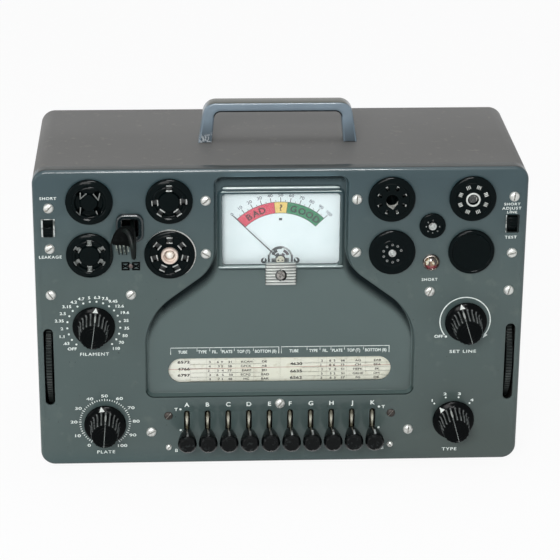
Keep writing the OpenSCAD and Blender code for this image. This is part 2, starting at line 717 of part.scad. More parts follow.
module lever(i) on_panel() translate([lever_x(i), 0, lever_z]) {
    pocket = 14;
    color(steel) difference() {
        union() {
            rod_x(lever_pivot_y, 0, -arm_w / 2, arm_w / 2, 6);
            block([-arm_w / 2, 14, -3], [arm_w / 2, lever_pivot_y, 3]);
            block([-shank_w / 2, -tip_root - pocket, -shank_h / 2], [shank_w / 2, 15, shank_h / 2]);
            block([-arm_w / 2, lever_pivot_y, -2], [arm_w / 2, lever_pivot_y + 11, 2]);
        }
        rod_x(lever_pivot_y, 0, -arm_w, arm_w, pivot_rod_r + run_gap);
    }
    color(black) difference() {
        translate([0, -tip_root, 0]) rotate([90, 0, 0]) rotate_extrude() polygon(tip_profile());
        block([-shank_w / 2 - bond_gap, -tip_root - pocket - bond_gap, -shank_h / 2 - bond_gap],
            [shank_w / 2 + bond_gap, 0, shank_h / 2 + bond_gap]);
    }
}

module lever_a() lever(0);
module lever_b() lever(1);
module lever_c() lever(2);
module lever_d() lever(3);
module lever_e() lever(4);
module lever_f() lever(5);
module lever_g() lever(6);
module lever_h() lever(7);
module lever_j() lever(8);
module lever_k() lever(9);

// ---------- chart ----------

bracket_x = wheel_x - 9;

module chart_frame() color(steel) on_panel() {
    difference() {
        union() {
            for (s = [-1, 1])
                block([s * cheek_x - cheek_t / 2, floor_back, guide_low_z - 3],
                    [s * cheek_x + cheek_t / 2, supply_y + 8, guide_top_z + 6]);
            rod_x(guide_y, guide_top_z, -cheek_x, cheek_x, guide_r);
            rod_x(guide_y, guide_low_z, -cheek_x, cheek_x, guide_r);
            block([-cheek_x, supply_y + 6.6, supply_z + 14], [cheek_x, supply_y + 8, guide_top_z + 6]);
        }
        rod_x(drive_y, wheel_z, -case_w, case_w, spindle_r + run_gap);
        rod_x(supply_y, supply_z, -case_w, case_w, spindle_r + run_gap);
    }
    for (s = [-1, 1]) difference() {
        block([s * bracket_x - 0.8, panel_t, wheel_z - 7], [s * bracket_x + 0.8, drive_y + 7, wheel_z + 7]);
        rod_x(drive_y, wheel_z, -case_w, case_w, spindle_r + run_gap);
    }
}

// The paper runs from the top of the drive spool, over the upper guide, down past the
// window, round the lower guide and back to the supply spool
module chart_paper() color(cream) on_panel() {
    turn_r = guide_r + paper_t / 2 + 0.02;
    clear = spool_r + fit_gap + paper_t / 2;
    path = concat(
        [[drive_y, wheel_z + clear]],
        arc(guide_y, guide_top_z, turn_r, 80, 180),
        arc(guide_y, guide_low_z, turn_r, 180, 275),
        [[supply_y, supply_z - clear]]);
    across(-paper_w / 2, paper_w / 2) polygon(strip(path, paper_t));
}

module spool(y, z) {
    rod_x(y, z, -paper_w / 2 - 1, paper_w / 2 + 1, spool_r);
    for (s = [-1, 1]) rod_x(y, z, s * (paper_w / 2 + 2) - 1, s * (paper_w / 2 + 2) + 1, spool_r + 1.5);
}

module drive_roller() color(brown_board) on_panel() {
    spool(drive_y, wheel_z);
    rod_x(drive_y, wheel_z, -wheel_x - 4, wheel_x + 4, spindle_r);
}

module supply_roller() color(brown_board) on_panel() {
    spool(supply_y, supply_z);
    rod_x(supply_y, supply_z, -cheek_x - 5, cheek_x + 5, spindle_r);
}

function serrated(r, n, depth) =
    [for (i = [0:n - 1], k = [0, 1]) let (a = (i + k / 2) * 360 / n) [(r - k * depth) * cos(a), (r - k * depth) * sin(a)]];

module thumbwheel(s) color(black) on_panel() translate([s * wheel_x, drive_y, wheel_z]) difference() {
    union() {
        difference() {
            across(-wheel_w / 2, wheel_w / 2) polygon(serrated(wheel_r, wheel_teeth, 0.7));
            for (side = [-1, 1])
                rod_x(0, 0, side > 0 ? 1 : -wheel_w, side > 0 ? wheel_w : -1, wheel_r - 6);
        }
        rod_x(0, 0, -wheel_w / 2, wheel_w / 2, 7);
    }
    rod_x(0, 0, -wheel_w, wheel_w, spindle_r + bond_gap);
}

module left_thumbwheel() thumbwheel(-1);
module right_thumbwheel() thumbwheel(1);

// ---------- meter ----------

glass_back = floor_back + glass_t;
ear_x = meter_screw_x + 5.8;
ear_half_h = 5;
ear_t = 3;

module meter_glass() color([0.85, 0.92, 0.92, 0.35]) on_panel()
    slab(floor_back, glass_back) polygon(round_rect(meter_w + 8, meter_h + 8, 4, 0, window_mid_z));

module meter_case() color(black) on_panel() difference() {
    union() {
        slab(glass_back, meter_back)
            polygon(round_rect(meter_case_w, meter_case_h, 5, 0, window_mid_z));
        // Ears that the four screws beside the recess hold
        for (s = [-1, 1], z = [row_top_z, row_low_z]) {
            block([s > 0 ? recess_top_x + 2.4 : -ear_x, panel_t, z - ear_half_h],
                [s > 0 ? ear_x : -recess_top_x - 2.4, glass_back + ear_t, z + ear_half_h]);
            block([s > 0 ? meter_case_w / 2 - ear_t : -ear_x, glass_back, z - ear_half_h],
                [s > 0 ? ear_x : -meter_case_w / 2 + ear_t, glass_back + ear_t, z + ear_half_h]);
        }
    }
    slab(glass_back - 1, meter_back - 2)
        polygon(round_rect(meter_case_w - 4, meter_case_h - 4, 3, 0, window_mid_z));
    for (p = panel_screw_places) rod_y(p[0], p[1], 0, 8, screw_hole_r);
}

module meter_dial() color([0.95, 0.95, 0.93]) on_panel() difference() {
    slab(dial_y, dial_y + 0.8) polygon(round_rect(meter_w + 6, meter_h + 6, 3, 0, window_mid_z));
    rod_y(0, pivot_z, dial_y - 1, dial_y + 2, 4);
}

arch_r = 9.3;
pin_r = 0.8;

module meter_movement() color([0.35, 0.35, 0.36]) on_panel() {
    difference() {
        union() {
            rod_y(0, pivot_z, dial_y + 0.8, meter_back - 2, 3.4);
            block([-24, dial_y + 0.8, pivot_z], [24, meter_back - 2, pivot_z + 40]);
            rod_y(0, pivot_z, dial_y - 0.7, dial_y + 1, 3.6);
        }
        rod_y(0, pivot_z, dial_y - 2, dial_y + 9, pin_r + run_gap);
    }
    // Yoke plate and the dial's two screws, which lie on the dial
    slab(dial_y - 0.7, dial_y) difference() {
        polygon(concat([[arch_r, pivot_z - 2], [arch_r, pivot_z]], arc(0, pivot_z, arch_r, 0, 180, 16),
            [[-arch_r, pivot_z], [-arch_r, pivot_z - 2]]));
        translate([0, pivot_z]) circle(r = 4.6);
    }
    for (s = [-1, 1]) rod_y(s * 12.4, pivot_z - 0.8, dial_y - 0.7, dial_y, 2.2);
}

needle_turn = -45;

module meter_needle() color([0.05, 0.05, 0.05]) on_panel() translate([0, 0, pivot_z]) rotate([0, needle_turn, 0]) {
    rod_y(0, 0, dial_y - 1.8, dial_y - 1, 3);
    rod_y(0, 0, dial_y - 1, dial_y + 6, pin_r);
    slab(dial_y - 1.6, dial_y - 1.3) polygon([[-0.45, -7], [0.45, -7], [0.5, 4], [0.2, needle_reach], [-0.2, needle_reach], [-0.5, 4]]);
}

plate_half_w = 11.6;
plate_low_z = window_z - 13.3;
plate_high_z = window_z + 4.3;
plate_front = 1;
rib_pitch = 2.35;
adjust_z = window_z - 4.9;
adjust_r = 3.25;

// The bright ribbed plate under the dial, with the boss of the zero adjuster
module meter_cover_plate() color(steel) on_panel() difference() {
    union() {
        difference() {
            block([-plate_half_w, plate_front, plate_low_z], [plate_half_w, recess_d - bezel_proud, plate_high_z]);
            for (z = [plate_low_z + rib_pitch / 2:rib_pitch:plate_high_z])
                block([-plate_half_w - 1, 0, z - 0.5], [plate_half_w + 1, plate_front + 0.8, z + 0.5]);
        }
        block([-plate_half_w, recess_d - bezel_proud, plate_low_z],
            [plate_half_w, recess_d, window_z - bezel_w - 0.2]);
        rod_y(0, adjust_z, plate_front - 0.4, recess_d - bezel_proud, 4.3);
    }
    rod_y(0, adjust_z, -1, recess_d - bezel_proud + 0.6, 1.5 + run_gap);
}

module zero_adjust_screw() color(steel) on_panel() translate([0, plate_front - 0.5, adjust_z]) difference() {
    union() {
        rod_y(0, 0, -1.4, 0, adjust_r);
        rod_y(0, 0, 0, recess_d - bezel_proud - plate_front + 0.3, 1.5);
    }
    rotate([0, 35, 0]) block([-4, -2, -0.5], [4, -0.6, 0.5]);
}

// ---------- inside ----------

transformer_x = case_w / 2 - 88;
core_w = 62;
core_d = 44;
core_h = 54;

module power_transformer() color([0.12, 0.12, 0.13]) on_panel()
    translate([transformer_x, lip_back - 34, cabinet_wall]) {
        block([-core_w / 2, -core_d / 4, 0], [core_w / 2, core_d / 4, core_h]);
        for (s = [-1, 1])
            block([-core_w / 2 + 7, s > 0 ? core_d / 4 : -core_d / 2, 7], [core_w / 2 - 7, s > 0 ? core_d / 2 : -core_d / 4, core_h - 7]);
        for (s = [-1, 1]) block([s > 0 ? core_w / 2 : -core_w / 2 - 9, -8, 0], [s > 0 ? core_w / 2 + 9 : -core_w / 2, 8, 2]);
    }

// ---------- grid lead ----------

module grid_lead_bezel() color(panel_grey) on_panel() difference() {
    union() {
        slab(-3, 0) polygon(round_rect(20.8, 22, 5.5, -lead_x, lead_z));
        slab(0, 10) polygon(round_rect(15.4, 16.4, 2.2, -lead_x, lead_z));
    }
    slab(-4, 8.5) polygon(round_rect(12.4, 13, 1.6, -lead_x, lead_z));
    rod_y(-111, lead_z + 1.5, 8, 11, lead_r + 0.6);
}

// Rings round the lead's points, square to its run, joined into one skin
function run_at(i) = let (a = lead_points[max(i - 1, 0)], b = lead_points[min(i + 1, len(lead_points) - 1)])
    (b - a) / norm(b - a);
function ring(i) =
    let (t = run_at(i), u = cross(t, [1, 0, 0]) / norm(cross(t, [1, 0, 0])), v = cross(t, u))
    [for (k = [0:lead_sides - 1]) lead_points[i]
        + lead_r * (u * cos(k * 360 / lead_sides) + v * sin(k * 360 / lead_sides))];

module grid_lead() color(black) on_panel() {
    n = lead_sides;
    last = len(lead_points) - 1;
    polyhedron(
        points = [for (i = [0:last]) each ring(i)],
        faces = concat(
            [[for (k = [0:n - 1]) k]],
            [[for (k = [n - 1:-1:0]) last * n + k]],
            [for (i = [0:last - 1], k = [0:n - 1])
                [i * n + k, (i + 1) * n + k, (i + 1) * n + (k + 1) % n, i * n + (k + 1) % n]]));
}

module grid_clip() color(black) on_panel() {
    slab(clip_y - clip_d / 2, clip_y + clip_d / 2)
        polygon(round_rect(clip_w, clip_h, 2.4, clip_x, clip_top - clip_h / 2));
    for (x = [-3.2, 2.6])
        block([clip_x + x - 1.6, clip_y - 1.2, clip_top - clip_h - 8], [clip_x + x + 1.6, clip_y - 0.4, clip_top - clip_h]);
}

// ---------- the tester ----------

cabinet();
back_cover();
case_screws();
cord_grommet();
front_panel();
panel_screws();
handle();
feet();
socket_four_pin();
socket_five_pin();
socket_six_pin();
socket_seven_pin();
socket_octal();
socket_loctal();
socket_miniature();
socket_noval();
socket_blank_plug();
socket_contacts();
pilot_lamp_socket();
short_lamp_bezel();
short_lamp_jewel();
slide_switch_frames();
leakage_button();
test_button();
filament_knob();
plate_knob();
line_knob();
type_knob();
rotary_switches();
potentiometers();
lever_bank_frame();
lever_pivot_rod();
lever_a();
lever_b();
lever_c();
lever_d();
lever_e();
lever_f();
lever_g();
lever_h();
lever_j();
lever_k();
chart_frame();
chart_paper();
drive_roller();
supply_roller();
left_thumbwheel();
right_thumbwheel();
meter_case();
meter_dial();
meter_movement();
meter_needle();
meter_glass();
meter_cover_plate();
zero_adjust_screw();
power_transformer();
grid_lead_bezel();
grid_lead();
grid_clip();
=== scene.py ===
# %% [markdown]
# # A portable tube tester
# A shop tool from the years when a radio was mended at its tubes: a steel case with a
# carry handle, a painted panel with sockets, levers and knobs, a meter and a roll chart.
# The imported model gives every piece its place. This file gives the pieces their real
# edges, prints, plating and paint, and leaves all that moves on the body that carries it.

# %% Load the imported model
import math
import random

import bmesh
import bpy
from mathutils import Matrix, Vector


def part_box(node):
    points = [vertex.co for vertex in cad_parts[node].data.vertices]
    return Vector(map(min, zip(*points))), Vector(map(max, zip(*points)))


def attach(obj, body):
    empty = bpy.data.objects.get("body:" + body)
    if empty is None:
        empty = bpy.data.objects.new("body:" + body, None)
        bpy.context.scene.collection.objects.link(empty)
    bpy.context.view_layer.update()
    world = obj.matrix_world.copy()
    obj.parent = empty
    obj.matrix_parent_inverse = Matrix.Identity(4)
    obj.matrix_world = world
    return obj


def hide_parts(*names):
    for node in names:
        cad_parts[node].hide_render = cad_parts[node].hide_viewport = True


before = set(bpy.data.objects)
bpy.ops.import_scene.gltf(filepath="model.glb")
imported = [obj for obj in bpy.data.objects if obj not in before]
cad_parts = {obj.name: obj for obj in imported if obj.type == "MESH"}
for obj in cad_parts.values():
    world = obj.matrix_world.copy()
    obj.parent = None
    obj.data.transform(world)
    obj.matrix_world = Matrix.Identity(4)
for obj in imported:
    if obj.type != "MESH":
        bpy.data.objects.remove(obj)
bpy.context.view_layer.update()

# %% [markdown]
# ## One set of coordinates for the panel
# On a real tester everything is set out from the panel: so far from the middle, so far up
# from the lower edge, so deep behind the painted face. Pieces are drawn here in those
# millimetres, and one matrix takes them to metres in the model's frame.

# %% Panel coordinates
MM = 0.001
panel_low, panel_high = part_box("front_panel")
CASE_W = (panel_high.x - panel_low.x) / MM
CASE_H = (panel_high.z - panel_low.z) / MM
CORNER_R = 11
to_frame = Matrix.Translation((0, panel_low.y, panel_low.z)) @ Matrix.Scale(MM, 4)
print(f"panel {CASE_W:.0f} x {CASE_H:.0f} mm")

# %% [markdown]
# ## The camera
# It stands well over a metre in front, a little to the left and above, as someone would
# who looks down at the tester on a bench. A long lens keeps the panel's sides parallel.

# %% Camera
CAMERA_AZIMUTH, CAMERA_ELEVATION, CAMERA_ROLL = (math.radians(turn) for turn in (-2.93, 21.65, 0.448))
CAMERA_DISTANCE, CAMERA_LENS, CAMERA_TARGET = 1670.8, 143.0, (-0.68, 0, 151.8)


def linked(name, data):
    """An object of some data, in the scene."""
    made = bpy.data.objects.new(name, data)
    bpy.context.scene.collection.objects.link(made)
    return made


camera = linked("camera", bpy.data.cameras.new("camera"))
back = Vector((math.sin(CAMERA_AZIMUTH) * math.cos(CAMERA_ELEVATION),
               -math.cos(CAMERA_AZIMUTH) * math.cos(CAMERA_ELEVATION), math.sin(CAMERA_ELEVATION)))
right = Vector((0, 0, 1)).cross(back).normalized()
axes = Matrix((right, back.cross(right), back)).transposed()
stand = to_frame @ Vector(CAMERA_TARGET) + back * CAMERA_DISTANCE * MM
camera.matrix_world = Matrix.Translation(stand) @ (axes @ Matrix.Rotation(CAMERA_ROLL, 3, "Z")).to_4x4()
camera.data.lens, camera.data.sensor_width = CAMERA_LENS, 36
camera.data.clip_start, camera.data.clip_end = 0.05, 20
bpy.context.scene.camera = camera
print("camera at", [round(place, 2) for place in stand])

# %% [markdown]
# ## Small tools for mesh work
# Most of a radio's pieces are turned, punched or moulded, so three moves make them all:
# a ring of points at each step of a profile, quads that join one ring to the next, and a
# flat face that is filled between an outline and its holes.

# %% Outlines
def fan(step, count, first=0.0):
    """Angles in even steps."""
    return [math.radians(first + step * i) for i in range(count)]


def arc(cx, cz, radius, start, end, steps=8):
    return [(cx + radius * math.cos(t), cz + radius * math.sin(t))
            for t in fan((end - start) / steps, steps + 1, start)]


def circle(cx, cz, radius, steps=48):
    return arc(cx, cz, radius, 0, 360, steps)[:-1]


def round_rect(width, height, radius, cx=0.0, cz=0.0, steps=8):
    right, top = width / 2 - radius, height / 2 - radius
    corners = ((right, top), (-right, top), (-right, -top), (right, -top))
    return [point for i, (x, z) in enumerate(corners)
            for point in arc(cx + x, cz + z, radius, 90 * i, 90 * i + 90, steps)]


def grown(outline, by):
    """The outline moved outwards by a small distance; it runs anticlockwise."""
    moved = []
    for i, (x, z) in enumerate(outline):
        along = (Vector(outline[(i + 1) % len(outline)]) - Vector(outline[i - 1])).normalized()
        moved.append((x + along.y * by, z - along.x * by))
    return moved


def spanned(half, ends):
    """Places from one end to the other of a long piece, whose ends are (inset, value) pairs."""
    return ([(inset - half, value) for inset, value in ends]
            + [(half - inset, value) for inset, value in ends[::-1]])


def polar(cx, cz, radius, turn):
    """A place at a clockwise turn from straight up."""
    return cx + radius * math.sin(math.radians(turn)), cz + radius * math.cos(math.radians(turn))


# %% Meshes
def ring(mesh, outline, y):
    return [mesh.verts.new((x, y, z)) for x, z in outline]


def sheet(mesh, rows, closed=False):
    """Quads from each row of points to the next."""
    for first, second in zip(rows, rows[1:] + (rows[:1] if closed else [])):
        for a, b, c, d in zip(first, first[1:], second[1:], second):
            mesh.faces.new((a, b, c, d))


def skin(mesh, rings, closed=False, capped=False):
    """Quads from each ring of points to the next; a capped skin gets a face on both ends."""
    sheet(mesh, [loop + loop[:1] for loop in rings], closed)
    if capped:
        mesh.faces.new(rings[0])
        mesh.faces.new(rings[-1])


def fill(mesh, rings):
    """A flat face inside the first ring, with the others as its holes."""
    edges = []
    for loop in rings:
        for pair in zip(loop, loop[1:] + loop[:1]):
            edges.append(mesh.edges.get(pair) or mesh.edges.new(pair))
    bmesh.ops.triangle_fill(mesh, use_beauty=True, use_dissolve=False, edges=edges)


def lathe(mesh, profile, x=0.0, z=0.0, steps=64, closed=False):
    """Turns a profile of (radius, depth) round a line that runs into the case."""
    rings = [ring(mesh, circle(x, z, max(radius, 1e-4), steps), y) for radius, y in profile]
    skin(mesh, rings, closed)
    for end in () if closed else (0, -1):
        if profile[end][0] > 0:
            mesh.faces.new(rings[end])
        else:
            bmesh.ops.pointmerge(mesh, verts=rings[end], merge_co=(x, profile[end][1], z))


# %% Blocks and plates
def block(mesh, low, high, soft=0.0, place=None):
    """A box from its low to its high corner, with soft edges."""
    size, middle = Vector(high) - Vector(low), (Vector(high) + Vector(low)) / 2
    shape = Matrix.Translation(middle) @ Matrix.Diagonal((*size, 1))
    made = bmesh.ops.create_cube(mesh, size=1, matrix=shape)
    soften_and_place(mesh, made["verts"], soft, place)


def plate(mesh, outline, y0, y1, soft=0.0, place=None):
    """A flat outline made solid from depth y0 to y1, with soft edges on both faces."""
    rings = [ring(mesh, outline, y0), ring(mesh, outline, y1)]
    skin(mesh, rings, capped=True)
    soften_and_place(mesh, rings[0] + rings[1], soft, place, sharp=50)


def soften_and_place(mesh, verts, soft, place, sharp=30):
    if soft:
        bmesh.ops.recalc_face_normals(mesh, faces=list({f for v in verts for f in v.link_faces}))
        edges = {e for v in verts for e in v.link_edges
                 if e.is_manifold and math.degrees(e.calc_face_angle(0)) > sharp}
        made = bmesh.ops.bevel(mesh, geom=list(edges), offset=soft, segments=3, profile=0.5, affect="EDGES")
        verts = [v for v in set(verts) | set(made["verts"]) if v.is_valid]
    if place:
        bmesh.ops.transform(mesh, matrix=place, verts=verts)


# %% From a mesh to a finished piece
def mesh_data(mesh, name, place=None):
    """Blender's own mesh, made from the one being drawn."""
    if place:
        mesh.transform(place)
    data = bpy.data.meshes.new(name)
    mesh.to_mesh(data)
    mesh.free()
    return data


def finished(mesh, name, finish, slot, body="case", smooth=35, place=None, replaces=None):
    """Makes an object of the mesh, gives it its finish and lets it ride on its body."""
    bmesh.ops.recalc_face_normals(mesh, faces=mesh.faces)
    data = mesh_data(mesh, name, to_frame @ (place or Matrix()))
    data.materials.append(finish.material)
    return seated(linked(name, data), body, smooth, replaces)


def seated(piece, body="case", smooth=35, replaces=None):
    if smooth:
        piece.data.shade_smooth()
        piece.data.set_sharp_from_angle(angle=math.radians(smooth))
    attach(piece, body)
    if replaces:
        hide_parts(replaces)
    return piece


def turned(name, profile, x, z, steps, finish, slot, closed=False, **seat):
    """A piece made on the lathe."""
    mesh = bmesh.new()
    lathe(mesh, profile, x, z, steps, closed)
    return finished(mesh, name, finish, slot, **seat)


def evaluated(piece):
    """A new mesh of the object as its modifiers or its letters leave it."""
    return bpy.data.meshes.new_from_object(piece.evaluated_get(bpy.context.evaluated_depsgraph_get()))


def cut_away(piece, cutter):
    """Takes the cutter mesh out of a piece, as a punch or a mould's core would."""
    bmesh.ops.recalc_face_normals(cutter, faces=cutter.faces)
    tool = linked("cutter", mesh_data(cutter, "cutter", to_frame))
    step = piece.modifiers.new("cut", "BOOLEAN")
    step.operation, step.solver, step.object = "DIFFERENCE", "EXACT", tool
    result = evaluated(piece)
    piece.modifiers.remove(step)
    old, piece.data = piece.data, result
    result.name = piece.name
    bpy.data.objects.remove(tool)
    bpy.data.meshes.remove(old)


def about(x, z, turn=0.0, y=0.0):
    """Moves what is drawn round the middle to a place on the panel, turned clockwise."""
    return Matrix.Translation((x, y, z)) @ Matrix.Rotation(math.radians(turn), 4, "Y")


# %% [markdown]
# ## Finishes
# Every finish starts from one plain colour, and then gets what years in a shop give it:
# a slow drift in tone, dust and painted shade in the hollows, a fine orange peel in paint,
# dull places in plating. Noise at two scales does most of it, laid out in real metres.

# %% A small recipe book for materials
def colour(red, green, blue):
    """A screen colour, 0 to 255, as the linear values that a shader takes."""
    linear = [c / 12.92 if c <= 0.04045 else ((c + 0.055) / 1.055) ** 2.4
              for c in (red / 255, green / 255, blue / 255)]
    return (*linear, 1.0)


class Finish:
    """A Principled material whose tone is one colour until something is laid over it."""

    def __init__(self, name, shade, roughness=0.5, metallic=0.0, specular=0.5, coat=0.0, alpha=1.0,
                 coat_roughness=0.03):
        self.material = bpy.data.materials.new(name)
        self.material.use_nodes = True
        self.tree = self.material.node_tree
        self.shader = self.tree.nodes["Principled BSDF"]
        self.tone = colour(*shade)
        for socket, value in (("Base Color", self.tone), ("Roughness", roughness), ("Metallic", metallic),
                              ("Specular IOR Level", specular), ("Coat Weight", coat), ("Alpha", alpha),
                              ("Coat Roughness", coat_roughness)):
            self.shader.inputs[socket].default_value = value
        self.place = self.node("ShaderNodeTexCoord").outputs["Object"]

    def node(self, kind, **settings):
        made = self.tree.nodes.new(kind)
        for key, value in settings.items():
            setattr(made, key, value)
        return made

    def feed(self, made, *sources):
        """Puts a link or a plain value on each of a node's sockets in turn."""
        for socket, source in zip(made.inputs, sources):
            if isinstance(source, bpy.types.NodeSocket):
                self.tree.links.new(source, socket)
            elif source is not None:
                socket.default_value = source
        return made.outputs

    def noise(self, per_metre, low=0.35, high=0.65, detail=3.0, stretch=(1, 1, 1)):
        """A patchy factor from 0 to 1; low and high set how much of it is covered."""
        scaled = self.feed(self.node("ShaderNodeMapping"), self.place, None, None, stretch)
        made = self.feed(self.node("ShaderNodeTexNoise"), scaled[0], None, per_metre, detail)
        return self.spread(made["Fac"], low, high)

    def spread(self, source, low, high, to_low=0.0, to_high=1.0):
        return self.feed(self.node("ShaderNodeMapRange"), source, low, high, to_low, to_high)[0]

    def along(self, source, axis):
        return self.feed(self.node("ShaderNodeSeparateXYZ"), source)[axis.upper()]

    def between(self, axis, start, end, fade=0.4):
        """1 where a point lies between two places along x, y or z, in panel millimetres."""
        zero = {"x": 0.0, "y": panel_low.y, "z": panel_low.z}[axis]
        value = self.along(self.place, axis)
        rise = self.spread(value, zero + (start - fade) * MM, zero + (start + fade) * MM)
        fall = self.spread(value, zero + (end + fade) * MM, zero + (end - fade) * MM)
        return self.both(rise, fall)

    def facing(self, axis, low=0.2, high=0.9):
        """1 where the surface faces along an axis."""
        return self.spread(self.along(self.node("ShaderNodeNewGeometry").outputs["Normal"], axis), low, high)

    def both(self, first, *others, operation="MULTIPLY"):
        """All the factors together."""
        for other in others:
            first = self.feed(self.node("ShaderNodeMath", operation=operation), first, other)[0]
        return first

    def marked(self, name):
        """The worn places that a mesh carries as an attribute."""
        return self.node("ShaderNodeAttribute", attribute_name=name).outputs["Fac"]

    def tint(self, shade, *factors):
        """Lays another colour over the tone wherever all the factors say so."""
        made = self.node("ShaderNodeMix", data_type="RGBA")
        made.inputs[7].default_value = colour(*shade)
        for socket, source in ((0, self.both(*factors)), (6, self.tone)):
            if isinstance(source, tuple):
                made.inputs[socket].default_value = source
            else:
                self.tree.links.new(source, made.inputs[socket])
        self.tone = made.outputs[2]
        self.tree.links.new(self.tone, self.shader.inputs["Base Color"])
        return self

    def mottle(self, shade, *grain, **laid):
        """Lays another colour over the tone in the patches of a noise."""
        return self.tint(shade, self.noise(*grain, **laid))

    def band(self, shade, *reach):
        """Lays another colour over the tone between two places along an axis."""
        return self.tint(shade, self.between(*reach))

    def drive(self, socket, factor, low, high):
        """Lets a socket of the shader run from low to high with a factor."""
        self.tree.links.new(self.spread(factor, 0, 1, low, high), self.shader.inputs[socket])
        return self

    def uneven(self, low, high, *grain):
        """Lets the roughness run from low to high in patches."""
        return self.drive("Roughness", self.noise(*grain), low, high)

    def bump(self, strength, depth_mm, *grain, **laid):
        made = self.node("ShaderNodeBump")
        made.inputs["Strength"].default_value = strength
        made.inputs["Distance"].default_value = depth_mm * MM
        self.tree.links.new(self.noise(*grain, **laid), made.inputs["Height"])
        self.tree.links.new(made.outputs[0], self.shader.inputs["Normal"])
        return self


# %% [markdown]
# ## Paint and metal
# The panel wears a blue-grey enamel, the cabinet a warmer grey.
# Mouldings are black and glossy, and the metals are plated and a little dull.

# %% The panel's enamel
enamel = Finish("panel_enamel", (75, 89, 88), 0.42, specular=0.2, coat=0.45, coat_roughness=0.09)
enamel.mottle((71, 86, 85), 14, 0.3, 0.7).mottle((83, 96, 93), 95, 0.60, 0.74, 6)
enamel.mottle((50, 60, 58), 420, 0.70, 0.76, 2).band((84, 99, 98), "y", 5.4, 6.4, 0.4)
# Painted shade: the panel darkens towards its top and bottom edges and at its lower right
enamel.band((55, 74, 79), "z", 188, CASE_H + 40, 40).band((60, 81, 82), "z", -10, 5, 9)
enamel.tint((71, 82, 79), enamel.between("x", 70, 240, 60), enamel.between("z", -60, 60, 50))
# Painted shade under the walls that look down, and on the flange's top strip along the seam
enamel.tint((36, 53, 56), enamel.between("y", 0.3, 5.6, 0.3), enamel.facing("z", -0.1, -0.45))
enamel.tint((26, 34, 33), enamel.between("y", 1.7, 10.7, 0.4), enamel.facing("z", 0.5, 0.8),
            enamel.between("z", CASE_H - 2, CASE_H + 2, 0.5))
enamel.bump(0.15, 0.05, 900, 0.0, 1.0, 2).uneven(0.34, 0.46, 40, 0.3, 0.7)
# The wall at the foot of the recess and the top of the window's frame have lost their gloss
low_wall = enamel.both(enamel.between("z", 50, 62, 1), enamel.between("y", 0.16, 5.85, 0.1),
                       enamel.between("x", -106, 106, 1))
frame_top = enamel.both(enamel.between("z", CASE_H - 20.9, CASE_H - 19.0, 0.3),
                        enamel.between("y", 3.2, 4.6, 0.3))
for socket, gloss in (("Coat Weight", 0.45), ("Specular IOR Level", 0.2)):
    enamel.drive(socket, enamel.both(low_wall, frame_top, operation="MAXIMUM"), gloss, 0.0)
# On that wall, painted light lifts the faces that look up to the floor's tone, and a line of painted shade
# runs along its lip
enamel.tint((92, 108, 106), low_wall, enamel.facing("z", 0.3, 0.7), enamel.between("y", 0.8, 5.3, 0.3))
enamel.tint((34, 44, 43), low_wall, enamel.between("y", 0.2, 1.0, 0.15))
# Painted highlights where edges catch the light: the ridges over and under the window, and the recess's top
# lip
ridge = enamel.both(enamel.between("y", 2.6, 4.3, 0.2), enamel.facing("z", 0.2, 0.6))
enamel.tint((208, 224, 222), ridge, enamel.between("z", CASE_H - 19.8, CASE_H - 13, 0.3))
enamel.tint((176, 192, 190), ridge, enamel.between("z", CASE_H - 81, CASE_H - 77.6, 0.2))
enamel.tint((86, 112, 120), enamel.between("y", 0.03, 0.5, 0.1),
            enamel.between("z", CASE_H - 9, CASE_H - 3, 0.3), enamel.between("x", -39, 41, 6))

# %% Paints, mouldings and metals
cabinet_paint = Finish("cabinet_paint", (112, 111, 109), specular=0.2)
cabinet_paint.mottle((104, 103, 101), 9, 0.35, 0.7, stretch=(0.5, 1, 1))
cabinet_paint.mottle((122, 120, 115), 160, 0.62, 0.75, 5).bump(0.2, 0.06, 700, 0.0, 1.0, 3)
bakelite = Finish("black_bakelite", (7, 15, 16), 0.16, specular=0.05)
bakelite.uneven(0.09, 0.18, 60, 0.3, 0.7).mottle((12, 16, 16), 260, 0.62, 0.74, 5)
rubber = Finish("black_rubber", (20, 20, 20), 0.7, specular=0.2).mottle((38, 37, 35), 180, 0.5, 0.75)
nickel = Finish("nickel_plate", (204, 205, 202), 0.28, 0.9)
nickel.mottle((150, 148, 140), 130, 0.55, 0.75, 5).uneven(0.22, 0.42, 220, 0.3, 0.7)
steel = Finish("bare_steel", (150, 150, 148), 0.38, 1.0).mottle((120, 118, 113), 60, 0.4, 0.7, 5)
screw_metal = Finish("screw_heads", (206, 208, 204), 0.34, 0.55).mottle((150, 144, 134), 480, 0.58, 0.70, 4)
print("materials:", len(bpy.data.materials))

# %% [markdown]
# ## The panel
# It is one deep-drawn sheet: rolled edges, a sunken middle with sloping shoulders, and a
# raised frame round the meter's window. The sheet gets its true thickness, its rounded
# bends and every punched hole.

# %% What is laid out on the panel
SHOULDER_TURN = 53
WINDOW_LOW, WINDOW_W, WINDOW_H = CASE_H - 79.5, 88, 58.5
CHART_Z, CHART_W, CHART_H = 75.6, 170.5, 20
RECESS_D, FLANGE_D, SHEET = 6, 10, 1.6
ROLL_R, LIP_R, FOOT_R, DRAFT = 3.0, 1.5, 1.2, 0.5
LEVER_Z, LEVER_PITCH = 28, 15.875
LEVERS = [(name, (i - 4.5) * LEVER_PITCH) for i, name in enumerate("abcdefghjk")]
WHEEL_X, WHEEL_Z = CASE_W / 2 - 8.5, 82.5
HIGH_ROW, LOW_ROW = CASE_H - 24.5, CASE_H - 66.5
SOCKETS = {
    "socket_four_pin": (-142.2, HIGH_ROW), "socket_five_pin": (-83.2, HIGH_ROW),
    "socket_six_pin": (-142.8, LOW_ROW), "socket_seven_pin": (-83.2, LOW_ROW),
    "socket_octal": (82.0, HIGH_ROW), "socket_loctal": (142.4, HIGH_ROW),
    "socket_noval": (83.2, LOW_ROW), "socket_blank_plug": (142.8, LOW_ROW),
    "socket_miniature": (113, CASE_H - 45.8)}
